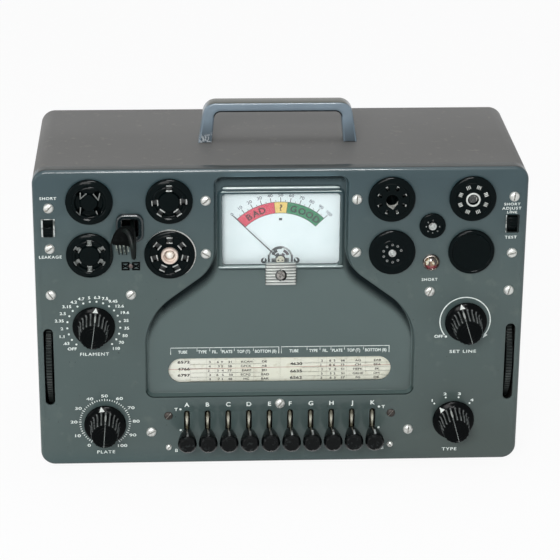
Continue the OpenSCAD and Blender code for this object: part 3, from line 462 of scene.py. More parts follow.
LAMP, LEAD_HOLE = (113, CASE_H - 75.2), (-112.5, CASE_H - 45)
SWITCH_X, SWITCH_Z = 173, CASE_H - 45
KNOBS = {"filament": (-141, 116), "line": (141, 116), "plate": (-134.2, 34.3), "type": (134.2, 34.3)}


# %% Outlines of the panel
def recess(grow):
    """The sunken middle: narrow at the meter, wide at the chart."""
    lean = math.radians(SHOULDER_TURN)
    top_z, low_z = CASE_H - 6.7 + grow, 56.5 - grow
    top_x, low_x = 49.8 + grow, 102 + grow
    in_r, out_r, low_r, top_r = 28 - grow, 48 + grow, 6 + grow, 6.6 + grow
    bend_z = CASE_H - 64 - grow * math.tan(lean / 2)
    in_x, in_z = top_x + in_r * (1 - math.cos(lean)), bend_z - in_r * math.sin(lean)
    out_x = low_x - out_r * (1 - math.cos(lean))
    out_z = in_z - (out_x - in_x) / math.tan(lean)
    side = (arc(low_x - low_r, low_z + low_r, low_r, -90, 0, 10)
            + arc(low_x - out_r, out_z - out_r * math.sin(lean), out_r, 0, SHOULDER_TURN, 24)
            + arc(top_x + in_r, bend_z, in_r, 180 + SHOULDER_TURN, 180, 16)
            + arc(top_x - top_r, top_z - top_r, top_r, 0, 90, 10))
    return side + [(-x, z) for x, z in reversed(side)]


def case_edge(inset):
    return round_rect(CASE_W - 2 * inset, CASE_H - 2 * inset, max(CORNER_R - inset, 1), 0, CASE_H / 2, 12)


def window(grow):
    width, height = WINDOW_W + 2 * grow, WINDOW_H - 1.5 + 2 * grow
    return round_rect(width, height, 3.0 + grow * 0.55, 0, WINDOW_LOW + WINDOW_H / 2 + 0.75)


lever_holes = [round_rect(4.4, 34.1, 2.19, x, LEVER_Z - 0.45, 6) for name, x in LEVERS]
wheel_holes = [round_rect(7.3, 63, 3.64, side * WHEEL_X, WHEEL_Z) for side in (-1, 1)]
hidden_holes = ([circle(*place, 8, 32) if "miniature" in name else circle(*place, 13.7, 40)
                 for name, place in SOCKETS.items()] + [circle(*LAMP, 5, 24)]
                + [circle(*place, 4.9, 24) for place in KNOBS.values()]
                + [round_rect(16, 17, 2.5, *LEAD_HOLE, 4)]
                + [round_rect(10.4, 14.4, 0.6, side * SWITCH_X, SWITCH_Z, 3) for side in (-1, 1)])

# %% Draw the sheet
mesh = bmesh.new()


def stepped(outline, steps):
    """A skin whose outline grows with its depth."""
    rings = [ring(mesh, outline(grow), depth) for grow, depth in steps]
    skin(mesh, rings)
    return rings


def punched(outlines, soft=0.35, front=0.0):
    """Rings down the edge of each hole, from its soft front edge to the sheet's back."""
    edge = [(soft, 0), (soft * 0.3, soft * 0.3), (0, soft), (0, SHEET)]
    steps = [(by, front + down) for by, down in edge]
    return [stepped(lambda by: grown(outline, by) if by else outline, steps) for outline in outlines]


flange_roll = [(ROLL_R * (1 - math.cos(t)), ROLL_R * (1 - math.sin(t))) for t in fan(15, 7)]
rolled = stepped(case_edge, [(0.0, FLANGE_D)] + flange_roll)
lip = [(LIP_R - LIP_R * math.sin(t), LIP_R - LIP_R * math.cos(t)) for t in fan(18, 6)]
wall_foot = [(-DRAFT - FOOT_R * (1 - math.cos(t)), RECESS_D - FOOT_R * (1 - math.sin(t))) for t in fan(18, 6)]
wall = stepped(recess, lip + wall_foot)
holes = punched(lever_holes + wheel_holes) + punched(hidden_holes, soft=0.15)
fill(mesh, [rolled[-1], wall[0]] + [hole[0] for hole in holes])
rim = stepped(window, [(3.7, 6.0), (3.5, 5.85), (3.1, 5.3), (2.7, 4.6), (2.2, 4.05), (1.6, 3.7), (1.0, 3.52),
                       (0.5, 3.5), (0.15, 3.65), (0.0, 4.0), (0.0, 7.6)])
slit = punched([round_rect(CHART_W, CHART_H, CHART_H / 2 - 0.01, 0, CHART_Z, 16)], 0.5, RECESS_D)[0]
fill(mesh, [wall[-1], rim[0], slit[0]])
inside = stepped(case_edge, [(SHEET, FLANGE_D), (SHEET, SHEET)])
skin(mesh, [rolled[0], inside[0]])
floor_back = stepped(recess, [(SHEET, SHEET), (SHEET, RECESS_D + SHEET)])
fill(mesh, [inside[-1], floor_back[0]] + [hole[-1] for hole in holes])
fill(mesh, [floor_back[-1], rim[-1], slit[-1]])
panel = finished(mesh, "panel_sheet", enamel, "panel_paint", smooth=32, replaces="front_panel")

# %% Ridges over and under the window
mesh = bmesh.new()
for z, half, deep_y, thick in ((WINDOW_LOW + WINDOW_H + 3.6, 44.5, 3.3, 2.3),
                               (WINDOW_LOW - 0.2, 47.2, 2.8, 1.6)):
    rings = []
    for x, share in spanned(half, ((0, 0.1), (0.5, 0.6), (1.6, 0.9), (4, 1.0))):
        bulge = thick * share
        rings.append([mesh.verts.new((x, deep_y + thick - bulge * math.sin(t), z - bulge * math.cos(t)))
                      for t in fan(15, 15, -15)])
    skin(mesh, rings, capped=True)
finished(mesh, "window_ridges", enamel, "panel_paint", smooth=50)


# %% Painted shade and grime at the foot of the recess's wall
def printed(mesh, name, finish, slot="panel_paint", body="case"):
    """Flat print faces the front and gets its object."""
    bmesh.ops.recalc_face_normals(mesh, faces=mesh.faces)
    for face in mesh.faces:
        if face.normal.y > 0:
            face.normal_flip()
    return finished(mesh, name, finish, slot, body, smooth=0)


# A dark sheet on the recess floor along its walls: painted shade, with grime
shade_and_grime = Finish("corner_shade_and_grime", (10, 22, 25), 0.6, specular=0.1)
shade_and_grime.drive("Alpha", shade_and_grime.both(shade_and_grime.marked("painted_light_and_dirt"), shade_and_grime.noise(60, 0.0, 0.4)), 0.0, 1.0)
# How dark the painted shade and grime are at each share of its reach from the wall
SHADE_AND_GRIME_FADE = ((0.0, 0.88), (0.32, 0.86), (0.42, 0.7), (0.55, 0.47), (0.7, 0.28), (0.85, 0.12), (1.0, 0.0))
mesh = bmesh.new()
painted_light_and_dirt = mesh.verts.layers.float.new("painted_light_and_dirt")
foot, strips = recess(-0.5), []
for i, (x, z) in enumerate(foot):
    along = Vector(foot[(i + 1) % len(foot)]) - Vector(foot[i - 1])
    inwards = Vector((-along.y, along.x)).normalized()
    # Painted shade: the more a wall overhangs, the wider and darker its band; along the top the band has a
    # fixed reach and six tenths of the darkness
    under, at_top = max(0.0, -inwards.y), z > CASE_H - 16
    reach = 6.2 if at_top else 2.6 + 10.2 * under
    heavy = (0.25 + 0.75 * min(1, under / 0.6) if inwards.y < 0.5 else 0.1) * (0.6 if at_top else 1)
    strips.append([])
    for share, dark in SHADE_AND_GRIME_FADE:
        spot = Vector((x, z)) + inwards * reach * share
        strips[-1].append(mesh.verts.new((spot.x, RECESS_D - 0.05, spot.y)))
        strips[-1][-1][painted_light_and_dirt] = dark * heavy
sheet(mesh, strips, closed=True)
printed(mesh, "recess_shade_and_grime", shade_and_grime)
print("panel:", len(panel.data.polygons), "faces,", len(holes), "holes")

# %% [markdown]
# ## The cabinet and its handle
# The cabinet is a folded tube of sheet steel that the panel caps. Its edge turns in a
# little behind the panel's flange, and at the back it forms a lip for the cover.

# %% Cabinet
mesh = bmesh.new()
section = [(0.5, 10.15), (0.12, 10.3), (0.0, 10.7), (0.0, 148.4), (0.15, 149.3), (0.5, 149.85), (0.9, 150.0),
           (1.2, 149.9), (1.2, 148.8), (13.2, 148.8), (13.2, 147.6), (2.0, 147.6), (1.6, 147.2), (1.6, 14.6),
           (3.1, 14.2), (3.1, 3.4), (1.9, 3.4), (1.9, 10.15)]
skin(mesh, [ring(mesh, case_edge(inset), depth) for inset, depth in section], closed=True)
finished(mesh, "cabinet_shell", cabinet_paint, "cabinet_paint", smooth=40, replaces="cabinet")

# %% Handle
HANDLE_H, HANDLE_HALF, HANDLE_Y, HANDLE_D, HANDLE_LEAN, SOFT_R = 31.5, 60.5, 62, 14, 3.5, 1.6
outer_x, inner_x = HANDLE_HALF - HANDLE_LEAN - 10, HANDLE_HALF - HANDLE_LEAN - 8.6 - 5
outline = ([(HANDLE_HALF, 0)] + arc(outer_x, HANDLE_H - 10, 10, 8, 90, 12)
           + arc(-outer_x, HANDLE_H - 10, 10, 90, 172, 12) + [(-HANDLE_HALF, 0), (-HANDLE_HALF + 10.2, 0)]
           + arc(-inner_x, HANDLE_H - 12.5, 5, 180, 90) + arc(inner_x, HANDLE_H - 12.5, 5, 90, 0)
           + [(HANDLE_HALF - 10.2, 0)])
soft = [(0.0, SOFT_R)]
soft += [(-SOFT_R * (1 - math.cos(t)), SOFT_R * (1 - math.sin(t))) for t in fan(22.5, 4, 22.5)]
mesh = bmesh.new()
sides = [(grow, HANDLE_Y + depth) for grow, depth in soft[::-1]]
sides += [(grow, HANDLE_Y + HANDLE_D - depth) for grow, depth in soft]
rings = stepped(lambda grow: [(x, max(z, 0)) for x, z in grown(outline, grow)], sides)
fill(mesh, [rings[0]])
fill(mesh, [rings[-1]])
handle_paint = Finish("handle_paint", (124, 141, 154), 0.3, specular=0.25, coat=0.4, coat_roughness=0.12)
handle_paint.mottle((116, 132, 144), 40, 0.35, 0.7)
# Painted shade: the faces that look up are darker and olive, those that look down nearly black
handle_paint.tint((60, 64, 54), handle_paint.facing("z", 0.6, 0.9))
handle_paint.tint((10, 14, 16), handle_paint.facing("z", -0.02, -0.3))
handle_paint.tint((184, 190, 194), handle_paint.between("z", 236, 246.5, 2.5),
                  handle_paint.noise(620, 0.50, 0.60, 6), handle_paint.between("x", -70, 0, 1))
handle_paint.bump(0.2, 0.08, 600, 0, 1, 3)
finished(mesh, "carry_handle", handle_paint, "handle_finish", smooth=30,
         place=Matrix.Translation((0, 0, CASE_H)), replaces="handle")


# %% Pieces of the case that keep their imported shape
def refinish(finish, slot, bevel, *nodes):
    """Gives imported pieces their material, joined corners and soft edges."""
    for node in nodes:
        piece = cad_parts[node]
        piece.data.materials.clear()
        piece.data.materials.append(finish.material)
        piece.modifiers.new("weld", "WELD").merge_threshold = 0.01 * MM
        if bevel:
            soft = piece.modifiers.new("bevel", "BEVEL")
            soft.width, soft.segments, soft.limit_method = bevel * MM, 2, "ANGLE"
            soft.angle_limit, soft.harden_normals = math.radians(35), True


refinish(cabinet_paint, "cabinet_paint", 0.15, "back_cover")
refinish(rubber, "rubber_black", 0.4, "feet", "cord_grommet")
refinish(screw_metal, "nickel", 0.12, "case_screws")
refinish(steel, "bare_steel", 0.15, "lever_bank_frame", "lever_pivot_rod", "chart_frame", "potentiometers")
print("case done")

# %% [markdown]
# ## Lettering
# The panel's words and numbers are silk-screened: plain, wide capitals in white ink. Text
# objects become thin meshes here, set to a measured height and pushed a hair's breadth
# proud of the surface. All the print of one colour on one surface is joined.

# %% Print
PRINT_Y, CAP_HEIGHT = -0.06, 0.729


def letters(mesh, words, height, x, z, y=PRINT_Y, turn=0.0, wide=1.15, bold=0.0, spacing=1.0, span=0.0):
    """Adds flat letters of one cap height, centred on a place; bold ones are printed three times."""
    curve = bpy.data.curves.new("words", "FONT")
    curve.body, curve.space_character = words, spacing
    writer = linked("words", curve)
    shape = evaluated(writer)
    bpy.data.objects.remove(writer)
    bpy.data.curves.remove(curve)
    across = [v.co.x for v in shape.vertices]
    middle, scale, spin = (min(across) + max(across)) / 2, height / CAP_HEIGHT, math.radians(turn)
    if span:
        wide = span / ((max(across) - min(across)) * scale)
    for i in range(3 if bold else 1):
        slip_u, slip_w = bold * math.sin(math.tau * i / 3), bold * math.cos(math.tau * i / 3)
        verts = []
        for v in shape.vertices:
            u, w = (v.co.x - middle + slip_u) * scale * wide, (v.co.y - CAP_HEIGHT / 2 + slip_w) * scale
            verts.append(mesh.verts.new((x + u * math.cos(spin) + w * math.sin(spin), y - 0.008 * i,
                                         z - u * math.sin(spin) + w * math.cos(spin))))
        for face in shape.polygons:
            mesh.faces.new([verts[j] for j in face.vertices])
    bpy.data.meshes.remove(shape)


# %% Lines, dots and ink
def stroke(mesh, points, width, y=PRINT_Y):
    """A line of even width drawn on the surface."""
    rows = []
    for i, (x, z) in enumerate(points):
        along = (Vector(points[min(i + 1, len(points) - 1)]) - Vector(points[max(i - 1, 0)])).normalized()
        offset = Vector((-along.y, along.x)) * width / 2
        rows.append([mesh.verts.new((x + s * offset.x, y, z + s * offset.y)) for s in (1, -1)])
    sheet(mesh, rows)


def dot(mesh, x, z, radius, y=PRINT_Y):
    mesh.faces.new(ring(mesh, circle(x, z, radius, 16), y))


def ink(name, red, green, blue):
    made = Finish(name, (red, green, blue), 0.6, specular=0.3)
    return made.mottle((red * 0.86, green * 0.88, blue * 0.87), 700, 0.56, 0.70, 5)


# %% Words on the panel
mesh = bmesh.new()
for words, height, span, x, z in (
        ("SHORT", 2.2, 12.3, -172.4, 218.4), ("LEAKAGE", 2.3, 16.7, -171.9, 172.2),
        ("SHORT", 2.0, 12.0, 172.2, 210.7), ("ADJUST", 2.1, 14.3, 172.0, 207.4),
        ("LINE", 2.0, 7.4, 172.4, 204.3), ("TEST", 2.2, 8.8, 172.2, 184.4),
        ("SHORT", 2.3, 11.9, 112.2, 151.0), ("FILAMENT", 2.6, 21.7, -140.9, 93.1),
        ("PLATE", 2.6, 13.6, -133.9, 10.8),
        ("SET LINE", 2.5, 20.2, 139.6, 91.6), ("TYPE", 2.6, 11.3, 132.0, 9.1)):
    letters(mesh, words, height, x, z, bold=0.026, spacing=1.2, span=span)
for name, x in LEVERS:
    letters(mesh, name.upper(), 3.5, x, 49.8, wide=1.12, bold=0.035)
for side in (-1, 1):
    for words, z in (("T", 46.0), ("B", 11.2)):
        letters(mesh, words, 2.6, side * 79.7, z, bold=0.035)
    for z in (46.0, 28.4):
        dot(mesh, side * 76.4, z, 0.9)

# %% Scales round the knobs
x, z = KNOBS["filament"]
VOLTS = "OFF .63 1.1 2 2.35 2.5 3.15 4.2 4.7 5 6.3 7.5 9.45 12.6 19.6 25 35 50 70 110"
VOLT_STEP = 14.5
for i, words in enumerate(VOLTS.split()):
    turn = -137.75 + VOLT_STEP * i
    dot(mesh, *polar(x, z, 20, turn), 0.8)
    reach = 23.3 + 0.75 * len(words) * abs(math.sin(math.radians(turn)))
    letters(mesh, words, 2.3, *polar(x, z, reach, turn), wide=1.2, bold=0.045, spacing=1.06)

x, z = KNOBS["plate"]
PLATE_STEPS, PLATE_SWEEP = 50, 293
for i in range(PLATE_STEPS + 1):
    turn = PLATE_SWEEP * (i / PLATE_STEPS - 0.5)
    numbered = i % 5 == 0
    reaches = (18.0, 20.1) if numbered else (18.4, 19.7)
    stroke(mesh, [polar(x, z + 1.4, radius, turn) for radius in reaches], 0.6)
    if numbered:
        words = str(2 * i)
        reach = 22.5 + 0.65 * len(words) * abs(math.sin(math.radians(turn)))
        letters(mesh, words, 2.4, *polar(x, z + 1.4, reach, turn), wide=1.6, bold=0.03, spacing=1.06)

x, z = KNOBS["line"]
round_line = (x - 0.6, z + 0.8)
stroke(mesh, [polar(*round_line, 19.2, turn) for turn in range(-127, 127, 4)], 0.85)
dot(mesh, *polar(*round_line, 19.2, -132), 0.95)
letters(mesh, "OFF", 2.3, *polar(x, z, 23.4, -120), bold=0.04, span=6.6)
arrow = [polar(*round_line, radius, turn) for radius, turn in ((20.2, 136), (18.4, 124), (21.2, 124))]
mesh.faces.new(ring(mesh, arrow, PRINT_Y - 0.02))

x, z = KNOBS["type"]
for number, turn in enumerate((-45, -15, 15, 45), 1):
    dot(mesh, *polar(x - 1.4, z, 19.3, turn), 0.75)
    letters(mesh, str(number), 2.2, *polar(x - 1.4, z, 22.4, turn * 0.96), wide=1.7, bold=0.05)

# %% Headings over the chart, each in its bracket
BRACKET_TOP, BRACKET_FOOT, BRACKET_INNER_FOOT = 94.6, 89.2, 91.6
head_y = RECESS_D + PRINT_Y
for stops, titles in (
        ((-83.6, -63.5, -53.8, -45.2, -35.1, -20.5, -0.9), (-74.2, -59.2, -49.7, -40.3, -27.8, -10.9)),
        ((0.9, 20.5, 30.4, 38.8, 49.1, 63.7, 83.6), (10.7, 25.6, 34.7, 43.9, 56.4, 73.4))):
    for left, right in zip(stops, stops[1:]):
        low = BRACKET_FOOT if left == stops[0] else BRACKET_INNER_FOOT
        stroke(mesh, [(left + 0.25, low), (left + 0.25, BRACKET_TOP), (right, BRACKET_TOP)], 0.5, head_y)
    stroke(mesh, [(stops[-1], BRACKET_TOP + 0.25), (stops[-1], BRACKET_FOOT)], 0.5, head_y)
    for words, place in zip(("TUBE", "TYPE", "FIL.", "PLATE", "TOP (T)", "BOTTOM (B)"), titles):
        letters(mesh, words, 2.5, place, 91.2, head_y, wide=0.84, bold=0.035, spacing=1.02)
printed(mesh, "panel_print", ink("white_ink", 228, 236, 232))
print("panel print done")

# %% [markdown]
# ## Tube sockets
# Each kind of tube base had its own socket, so the panel carries eight of them and a
# blank plug. They are moulded discs with turned-looking ridges: a lathe profile gives the
# disc, a boolean cut gives the openings, and folded springs stand in each opening.

# %% Disc and springs of a socket
contacts = bmesh.new()
FACE = [(17.5, 0), (17.5, -1.5), (17.2, -2.3), (16.5, -2.8), (15.6, -3.0)]


def outwards(name, turn):
    """Places what points along x so that it points out from a socket's middle."""
    return about(*SOCKETS[name], -turn)


def socket_disc(name, profile, cuts=(), body=13.4):
    """A moulded disc. cuts are (angle, radius, length, width), the length pointing outwards."""
    piece = turned(name + "_disc", [(0, 12), (body, 12), (body, 0)] + profile, *SOCKETS[name], 96,
                   bakelite, "black_bakelite", smooth=28, replaces=name)
    if cuts:
        cutter = bmesh.new()
        for angle, radius, length, width in cuts:
            block(cutter, (radius - length / 2, -8, -width / 2), (radius + length / 2, 6, width / 2),
                  place=outwards(name, angle))
        cut_away(piece, cutter)
        seated(piece, smooth=28)


def springs(name, cuts, bars=(-1, 1), thick=0.9, front=-2.4):
    """The leaves of each spring contact, across the ends of its opening, and the fold between them."""
    for angle, radius, length, width in cuts:
        spin = outwards(name, angle)
        for end in bars:
            at = radius + (length / 2 - thick / 2 - 0.15) * end
            block(contacts, (at - thick / 2, front, -width / 2 + 0.25),
                  (at + thick / 2, 5, width / 2 - 0.25), 0.15, spin)
        block(contacts, (radius - length / 2 + 0.4, front + 2.6, -width / 2 + 0.5),
              (radius + length / 2 - 0.4, front + 3.0, width / 2 - 0.5), 0.1, spin)


# %% Four, five, six and seven pins
ridged = FACE + [(15.1, -3.25), (13.6, -3.5), (13.1, -3.2), (12.6, -2.9), (12.1, -3.3), (11.3, -3.55),
                 (10.8, -3.3)]
socket_disc("socket_four_pin", ridged + [(10.5, -2.4), (10.3, -0.9), (9.9, -0.6), (7.0, -0.6), (6.7, -0.9),
            (6.5, -2.9), (6.1, -3.5), (5.0, -3.85), (2.5, -4.0), (0, -4.0)],
            [(angle, 8.7, 6.2, 4.4) for angle in (45, 135, 225, 315)])
x, z = SOCKETS["socket_four_pin"]
for path in (((-1.9, 7.0), (-6.2, 3.0), (-6.2, 7.6)), ((3.4, 6.6), (6.9, 1.9), (8.2, 7.2)),
             ((-10.2, -6.4), (-6.9, -10.0), (-6.2, -4.0)), ((5.2, -6.6), (6.7, -11.4), (9.8, -7.2))):
    for start, end in zip(path, path[1:]):
        along = Vector(end) - Vector(start)
        turn = Matrix.Rotation(-math.atan2(along.y, along.x), 4, "Y")
        block(contacts, (-0.3, -0.5, -0.42), (along.length + 0.3, 0.5, 0.42), 0.2,
              Matrix.Translation((x + start[0], -1.9, z + start[1])) @ turn)

boss = [(10.6, -2.6), (10.3, -1.2), (8.1, -1.2), (7.8, -2.6), (7.3, -3.3), (6.0, -3.7), (3.0, -3.9),
        (0, -3.9)]
larger = [(r + 1.5, y) for r, y in FACE]
larger += [(16.2, -3.3), (15.4, -3.6), (14.9, -3.3), (14.6, -2.8), (14.0, -2.5), (9.2, -2.5), (8.8, -2.9),
           (8.3, -3.7), (7.2, -3.8), (6.9, -3.4), (6.9, 4), (0, 4)]
for name, profile, cuts in (
        ("socket_five_pin", ridged + boss, [(angle, 10.6, 5.4, 5.0) for angle in (90, 184, 234, 306, 0)]),
        ("socket_six_pin", ridged + boss, [(30 + 60 * i, 10.4, 5.2, 4.2) for i in range(6)]),
        ("socket_seven_pin", larger, [(90 + 360 / 7 * i, 11.6, 5.4, 5.0) for i in range(7)])):
    socket_disc(name, profile, cuts)
    springs(name, cuts)
print("four sockets for pins")

# %% Octal, loctal, noval and miniature
hub = FACE + [(13.2, -3.2), (12.7, -3.9), (12.2, -4.0)]
eight = [(22.5 + 45 * i, 9.9, 3.6, 2.4) for i in range(8)]
socket_disc("socket_octal", hub + [(5.0, -4.0), (4.6, -3.8), (4.3, -3.3), (4.3, 9), (0, 9)], eight)
springs("socket_octal", eight, bars=(1,), thick=0.8, front=-3.2)
three = [(22.5 + 45 * i, 10.2, 3.2, 3.7) for i in range(8)]
socket_disc("socket_loctal", hub + [(5.9, -4.0), (5.6, -3.4), (3.6, -3.0), (3.4, 9), (0, 9)], three)
for angle, radius, length, width in three:
    for side in (-1.2, 0, 1.2):
        block(contacts, (radius - 1.45, -3.6, side - 0.29), (radius + 1.45, 5, side + 0.29), 0.1,
              outwards("socket_loctal", angle))
socket_disc("socket_noval", FACE + [(14.0, -3.3), (12.6, -3.2), (11.6, -3.0), (10.4, -3.3), (9.9, -3.6),
            (3.2, -3.6), (3.0, -3.0), (2.8, 8), (0, 8)])
socket_disc("socket_miniature", [(9.8, 0), (9.8, -1.0), (9.5, -1.6), (8.8, -2.0), (7.6, -2.1), (7.2, -2.5),
            (3.4, -2.6), (3.2, -2.2), (2.9, 8), (0, 8)], body=7.7)
for name, radius, turns, tube, front in (
        ("socket_noval", 6.9, [20 + 36 * i for i in range(9)], 0.95, -3.75),
        ("socket_miniature", 5.0, [90 + 45 * i for i in range(7)], 0.55, -2.7)):
    eyelet = [(0, 0), (tube * 0.45, front + 0.9), (tube * 0.6, front + 0.05), (tube * 0.85, front),
              (tube, front + 0.25), (tube, 0), (0, 0.2)]
    for turn in turns:
        lathe(contacts, eyelet, *polar(*SOCKETS[name], radius, 90 - turn), 16)
for name, inner, out, front in (("loctal", 4.1, 5.5, -4.1), ("noval", 1.5, 2.9, -3.9),
                                ("miniature", 1.6, 3.0, -2.9)):
    lathe(contacts, [(inner, 3), (inner, front + 0.3), (inner + 0.25, front), (out - 0.4, front),
                     (out, front + 0.4), (out, 2)], *SOCKETS["socket_" + name], 40, closed=True)
for name, out, front in (("socket_noval", 1.7, -3.2), ("socket_miniature", 2.0, -2.3)):
    lathe(contacts, [(0, 2), (out, 2), (out, front + 0.3), (out * 0.6, front), (0, front - 0.2)],
          *SOCKETS[name], 24)
spring_metal = Finish("contact_springs", (180, 184, 182), 0.34, 0.6)
# Painted shade on the springs deeper in their openings; a painted highlight on the front of the loctal's
# springs, and the four- and six-pin sockets' springs painted darker
spring_metal.mottle((112, 110, 108), 300, 0.52, 0.68, 3).band((58, 60, 60), "y", -1.0, 20, 0.9)
spring_metal.tint((212, 216, 212), spring_metal.between("x", 125, 160, 1),
                  spring_metal.between("y", -5, -3, 0.6))
spring_metal.band((128, 132, 130), "x", -160, -125, 1)
finished(contacts, "contact_springs", spring_metal, "nickel", smooth=30, replaces="socket_contacts")

# %% Key hole with painted light and wear, blank plug and the pilot lamp's holder
x, z = SOCKETS["socket_octal"]
mesh = bmesh.new()
# A grey patch over the lower part of the octal key hole: painted light on the hole's lit lower wall, with
# wear
patch = [(-4.4, -1.0), (-3.1, -2.9), (-1.2, -3.6), (1.3, -3.3), (3.1, -2.2), (4.3, 0.0), (4.1, -2.6),
         (2.1, -4.9), (0.6, -6.9), (-0.4, -6.2), (-2.0, -5.2), (-3.9, -3.4)]
mesh.faces.new(ring(mesh, [(x + px, z + pz) for px, pz in patch], -4.04))
painted_light_and_wear = Finish("painted_light_and_wear_edge", (150, 150, 144), 0.6).mottle((92, 92, 88), 600, 0.45, 0.6, 5)
printed(mesh, "key_hole_painted_light_and_wear", painted_light_and_wear, "black_bakelite")
turned("blank_plug", [(0, 7), (13.4, 7), (13.4, 0), (17.3, 0), (17.4, -1.8), (17.0, -2.9), (16.1, -3.5),
       (15.3, -3.6), (14.8, -3.3), (14.3, -2.6), (13.6, -2.4), (0, -2.4)], *SOCKETS["socket_blank_plug"], 96,
       bakelite, "black_bakelite", smooth=28, replaces="socket_blank_plug")
porcelain = Finish("porcelain", (228, 212, 200), 0.25, coat=0.3).mottle((206, 178, 164), 160, 0.45, 0.7)
x, z = SOCKETS["socket_seven_pin"]
turned("lamp_holder", [(0, 9.8), (6.4, 9.8), (6.4, -4.4), (6.1, -5.1), (5.5, -5.5), (4.9, -5.3), (4.5, -4.6),
       (4.3, -2.9), (3.9, -2.6), (3.7, -1.6), (3.6, 2), (0, 2)], x, z, 64, porcelain, "cream_ceramic",
       replaces="pilot_lamp_socket")
bulb_glass = Finish("lamp_bulb", (240, 236, 228), 0.15, coat=0.5).mottle((206, 200, 190), 300, 0.5, 0.7)
turned("lamp_bulb", [(0, 1.8), (3.0, 1.8), (3.2, -0.6), (2.9, -2.2), (2.1, -3.3), (1.0, -3.8), (0, -3.9)],
       x, z, 48, bulb_glass, "cream_ceramic", smooth=60)
turned("seven_pin_ring", [(18.4, -0.2), (19.3, -0.2), (19.35, -0.6), (19.2, -1.0), (18.4, -1.0)],
       x + 0.45, z + 0.3, 96, nickel, "nickel", closed=True)
key_metal = Finish("key_metal", (74, 76, 76), 0.4, 0.4).mottle((196, 198, 192), 330, 0.52, 0.6, 3)
turned("loctal_key", [(0, 3), (3.4, 3), (3.4, -1.2), (2.9, -1.9), (1.6, -2.0), (1.2, -1.4), (0, -1.2)],
       *SOCKETS["socket_loctal"], 40, key_metal, "bare_steel")
print("sockets done")

# %% [markdown]
# ## Knobs
# Moulded phenolic knobs of the time had a flared skirt, a fluted grip and a painted
# index line. Decades of fingers took the shine off the crests of the flutes, so the mesh
# marks its crests and the material turns them grey where they face up: wear, with a
# painted highlight on the knob's upper side.

# %% The knob's finish
knob_shine = Finish("knob_bakelite", (3, 6, 7), 0.2, specular=0.05).uneven(0.12, 0.22, 90, 0.3, 0.7)
# Grey on the flutes' crests that look up: wear, with a painted highlight on the knob's upper side
knob_shine.tint((132, 136, 135), knob_shine.marked("crest"), knob_shine.noise(420, 0.2, 0.5, 5),
                knob_shine.facing("z", 0.1, 0.8))
knob_white = ink("index_white", 222, 226, 222)
index_grey = ink("index_grey", 128, 134, 132)
index_grey_patch = ink("index_patch", 186, 190, 186)

# %% Knob shape
KNOB_RIBS, PER_RIB, SKIRT_R = 20, 10, 16
MARK_TURN = {"filament": 7.25, "line": -16, "plate": -10, "type": -45}
LINE_TURN = {"filament": 8, "line": -17, "plate": 4.5, "type": -15.5}
# A knob's profile as (radius, depth of the flutes, y), from the skirt to the face
KNOB_STEPS = [
    (8.6, 0.0, -0.8), (15.4, 0.0, -0.8), (SKIRT_R, 0.0, -1.1), (SKIRT_R, 0.0, -1.7), (15.7, 0.0, -2.2),
    (14.6, 0.0, -2.9), (13.2, 0.0, -3.5), (12.4, 0.0, -4.0), (11.9, 0.5, -4.8), (11.3, 1.0, -6.5),
    (11.0, 1.1, -12), (10.6, 1.1, -19.4), (10.3, 0.9, -21.0), (9.9, 0.5, -21.8), (9.4, 0.0, -22.2),
    (8.9, 0.0, -22.3), (8.5, 0.0, -22.1), (8.3, 0.0, -21.9), (6.8, 0.0, -21.85), (6.65, 0.0, -21.95),
    (6.5, 0.0, -21.85), (4.6, 0.0, -21.85), (4.45, 0.0, -21.95), (4.3, 0.0, -21.85)]


def knob_mesh(ribs_turn):
    """A fluted knob round the y axis; the crest attribute is 1 along the ribs."""
    mesh = bmesh.new()
    crest = mesh.verts.layers.float.new("crest")
    rings = []
    for radius, depth, y in KNOB_STEPS:
        rings.append([])
        for i in range(KNOB_RIBS * PER_RIB):
            height = max(0.0, math.cos(math.tau * ((i % PER_RIB) / PER_RIB - 0.5))) ** 0.8 if depth else 0
            turn = math.radians(ribs_turn) + math.tau * (i / PER_RIB + 0.5) / KNOB_RIBS
            r = radius - depth * (1 - height)
            rings[-1].append(mesh.verts.new((r * math.sin(turn), y, r * math.cos(turn))))
            rings[-1][-1][crest] = height ** 1.6 if depth else 0
    skin(mesh, rings, capped=True)
    return mesh


# %% Knobs and their painted strips
# Strips as (half width, height on the knob, depth): a triangle on the skirt's slope,
# a worn patch on the grip's side and a thin line across its face
mark = [(0.75, 14.6, -3.0), (1.6, 13.2, -3.6), (2.1, 12.35, -4.15)]
patch = [(0.3, 11.5, -8.0), (0.65, 11.4, -10.5), (0.7, 11.2, -16), (0.35, 11.0, -19.5)]
line = [(0.18, 9.4, -22.32), (0.2, 8.8, -22.4), (0.2, 8.2, -22.0), (0.22, 0, -21.98), (0.2, -8.2, -22.0),
        (0.2, -8.8, -22.4), (0.18, -9.4, -22.32)]
for name, (x, z) in KNOBS.items():
    seat = {"slot": "black_bakelite", "body": f"{name}_control", "place": about(x, z)}
    finished(knob_mesh(LINE_TURN[name]), f"{name}_knob_moulding", knob_shine, smooth=38,
             replaces=f"{name}_knob", **seat)
    for strip, word, paint, turn in ((mark, "mark", knob_white, MARK_TURN[name]),
                                     (patch, "patch", index_grey_patch, LINE_TURN[name]),
                                     (line, "line", index_grey, LINE_TURN[name])):
        mesh = bmesh.new()
        rows = [[mesh.verts.new((side * half, y, high)) for side in (-1, 1)] for half, high, y in strip]
        sheet(mesh, rows)
        if strip is mark:
            mesh.faces.new((mesh.verts.new((0, -2.3, 15.75)), *rows[0]))
        bmesh.ops.rotate(mesh, matrix=Matrix.Rotation(math.radians(turn), 3, "Y"), verts=mesh.verts)
        finished(mesh, f"{name}_knob_{word}", paint, smooth=0, **seat)
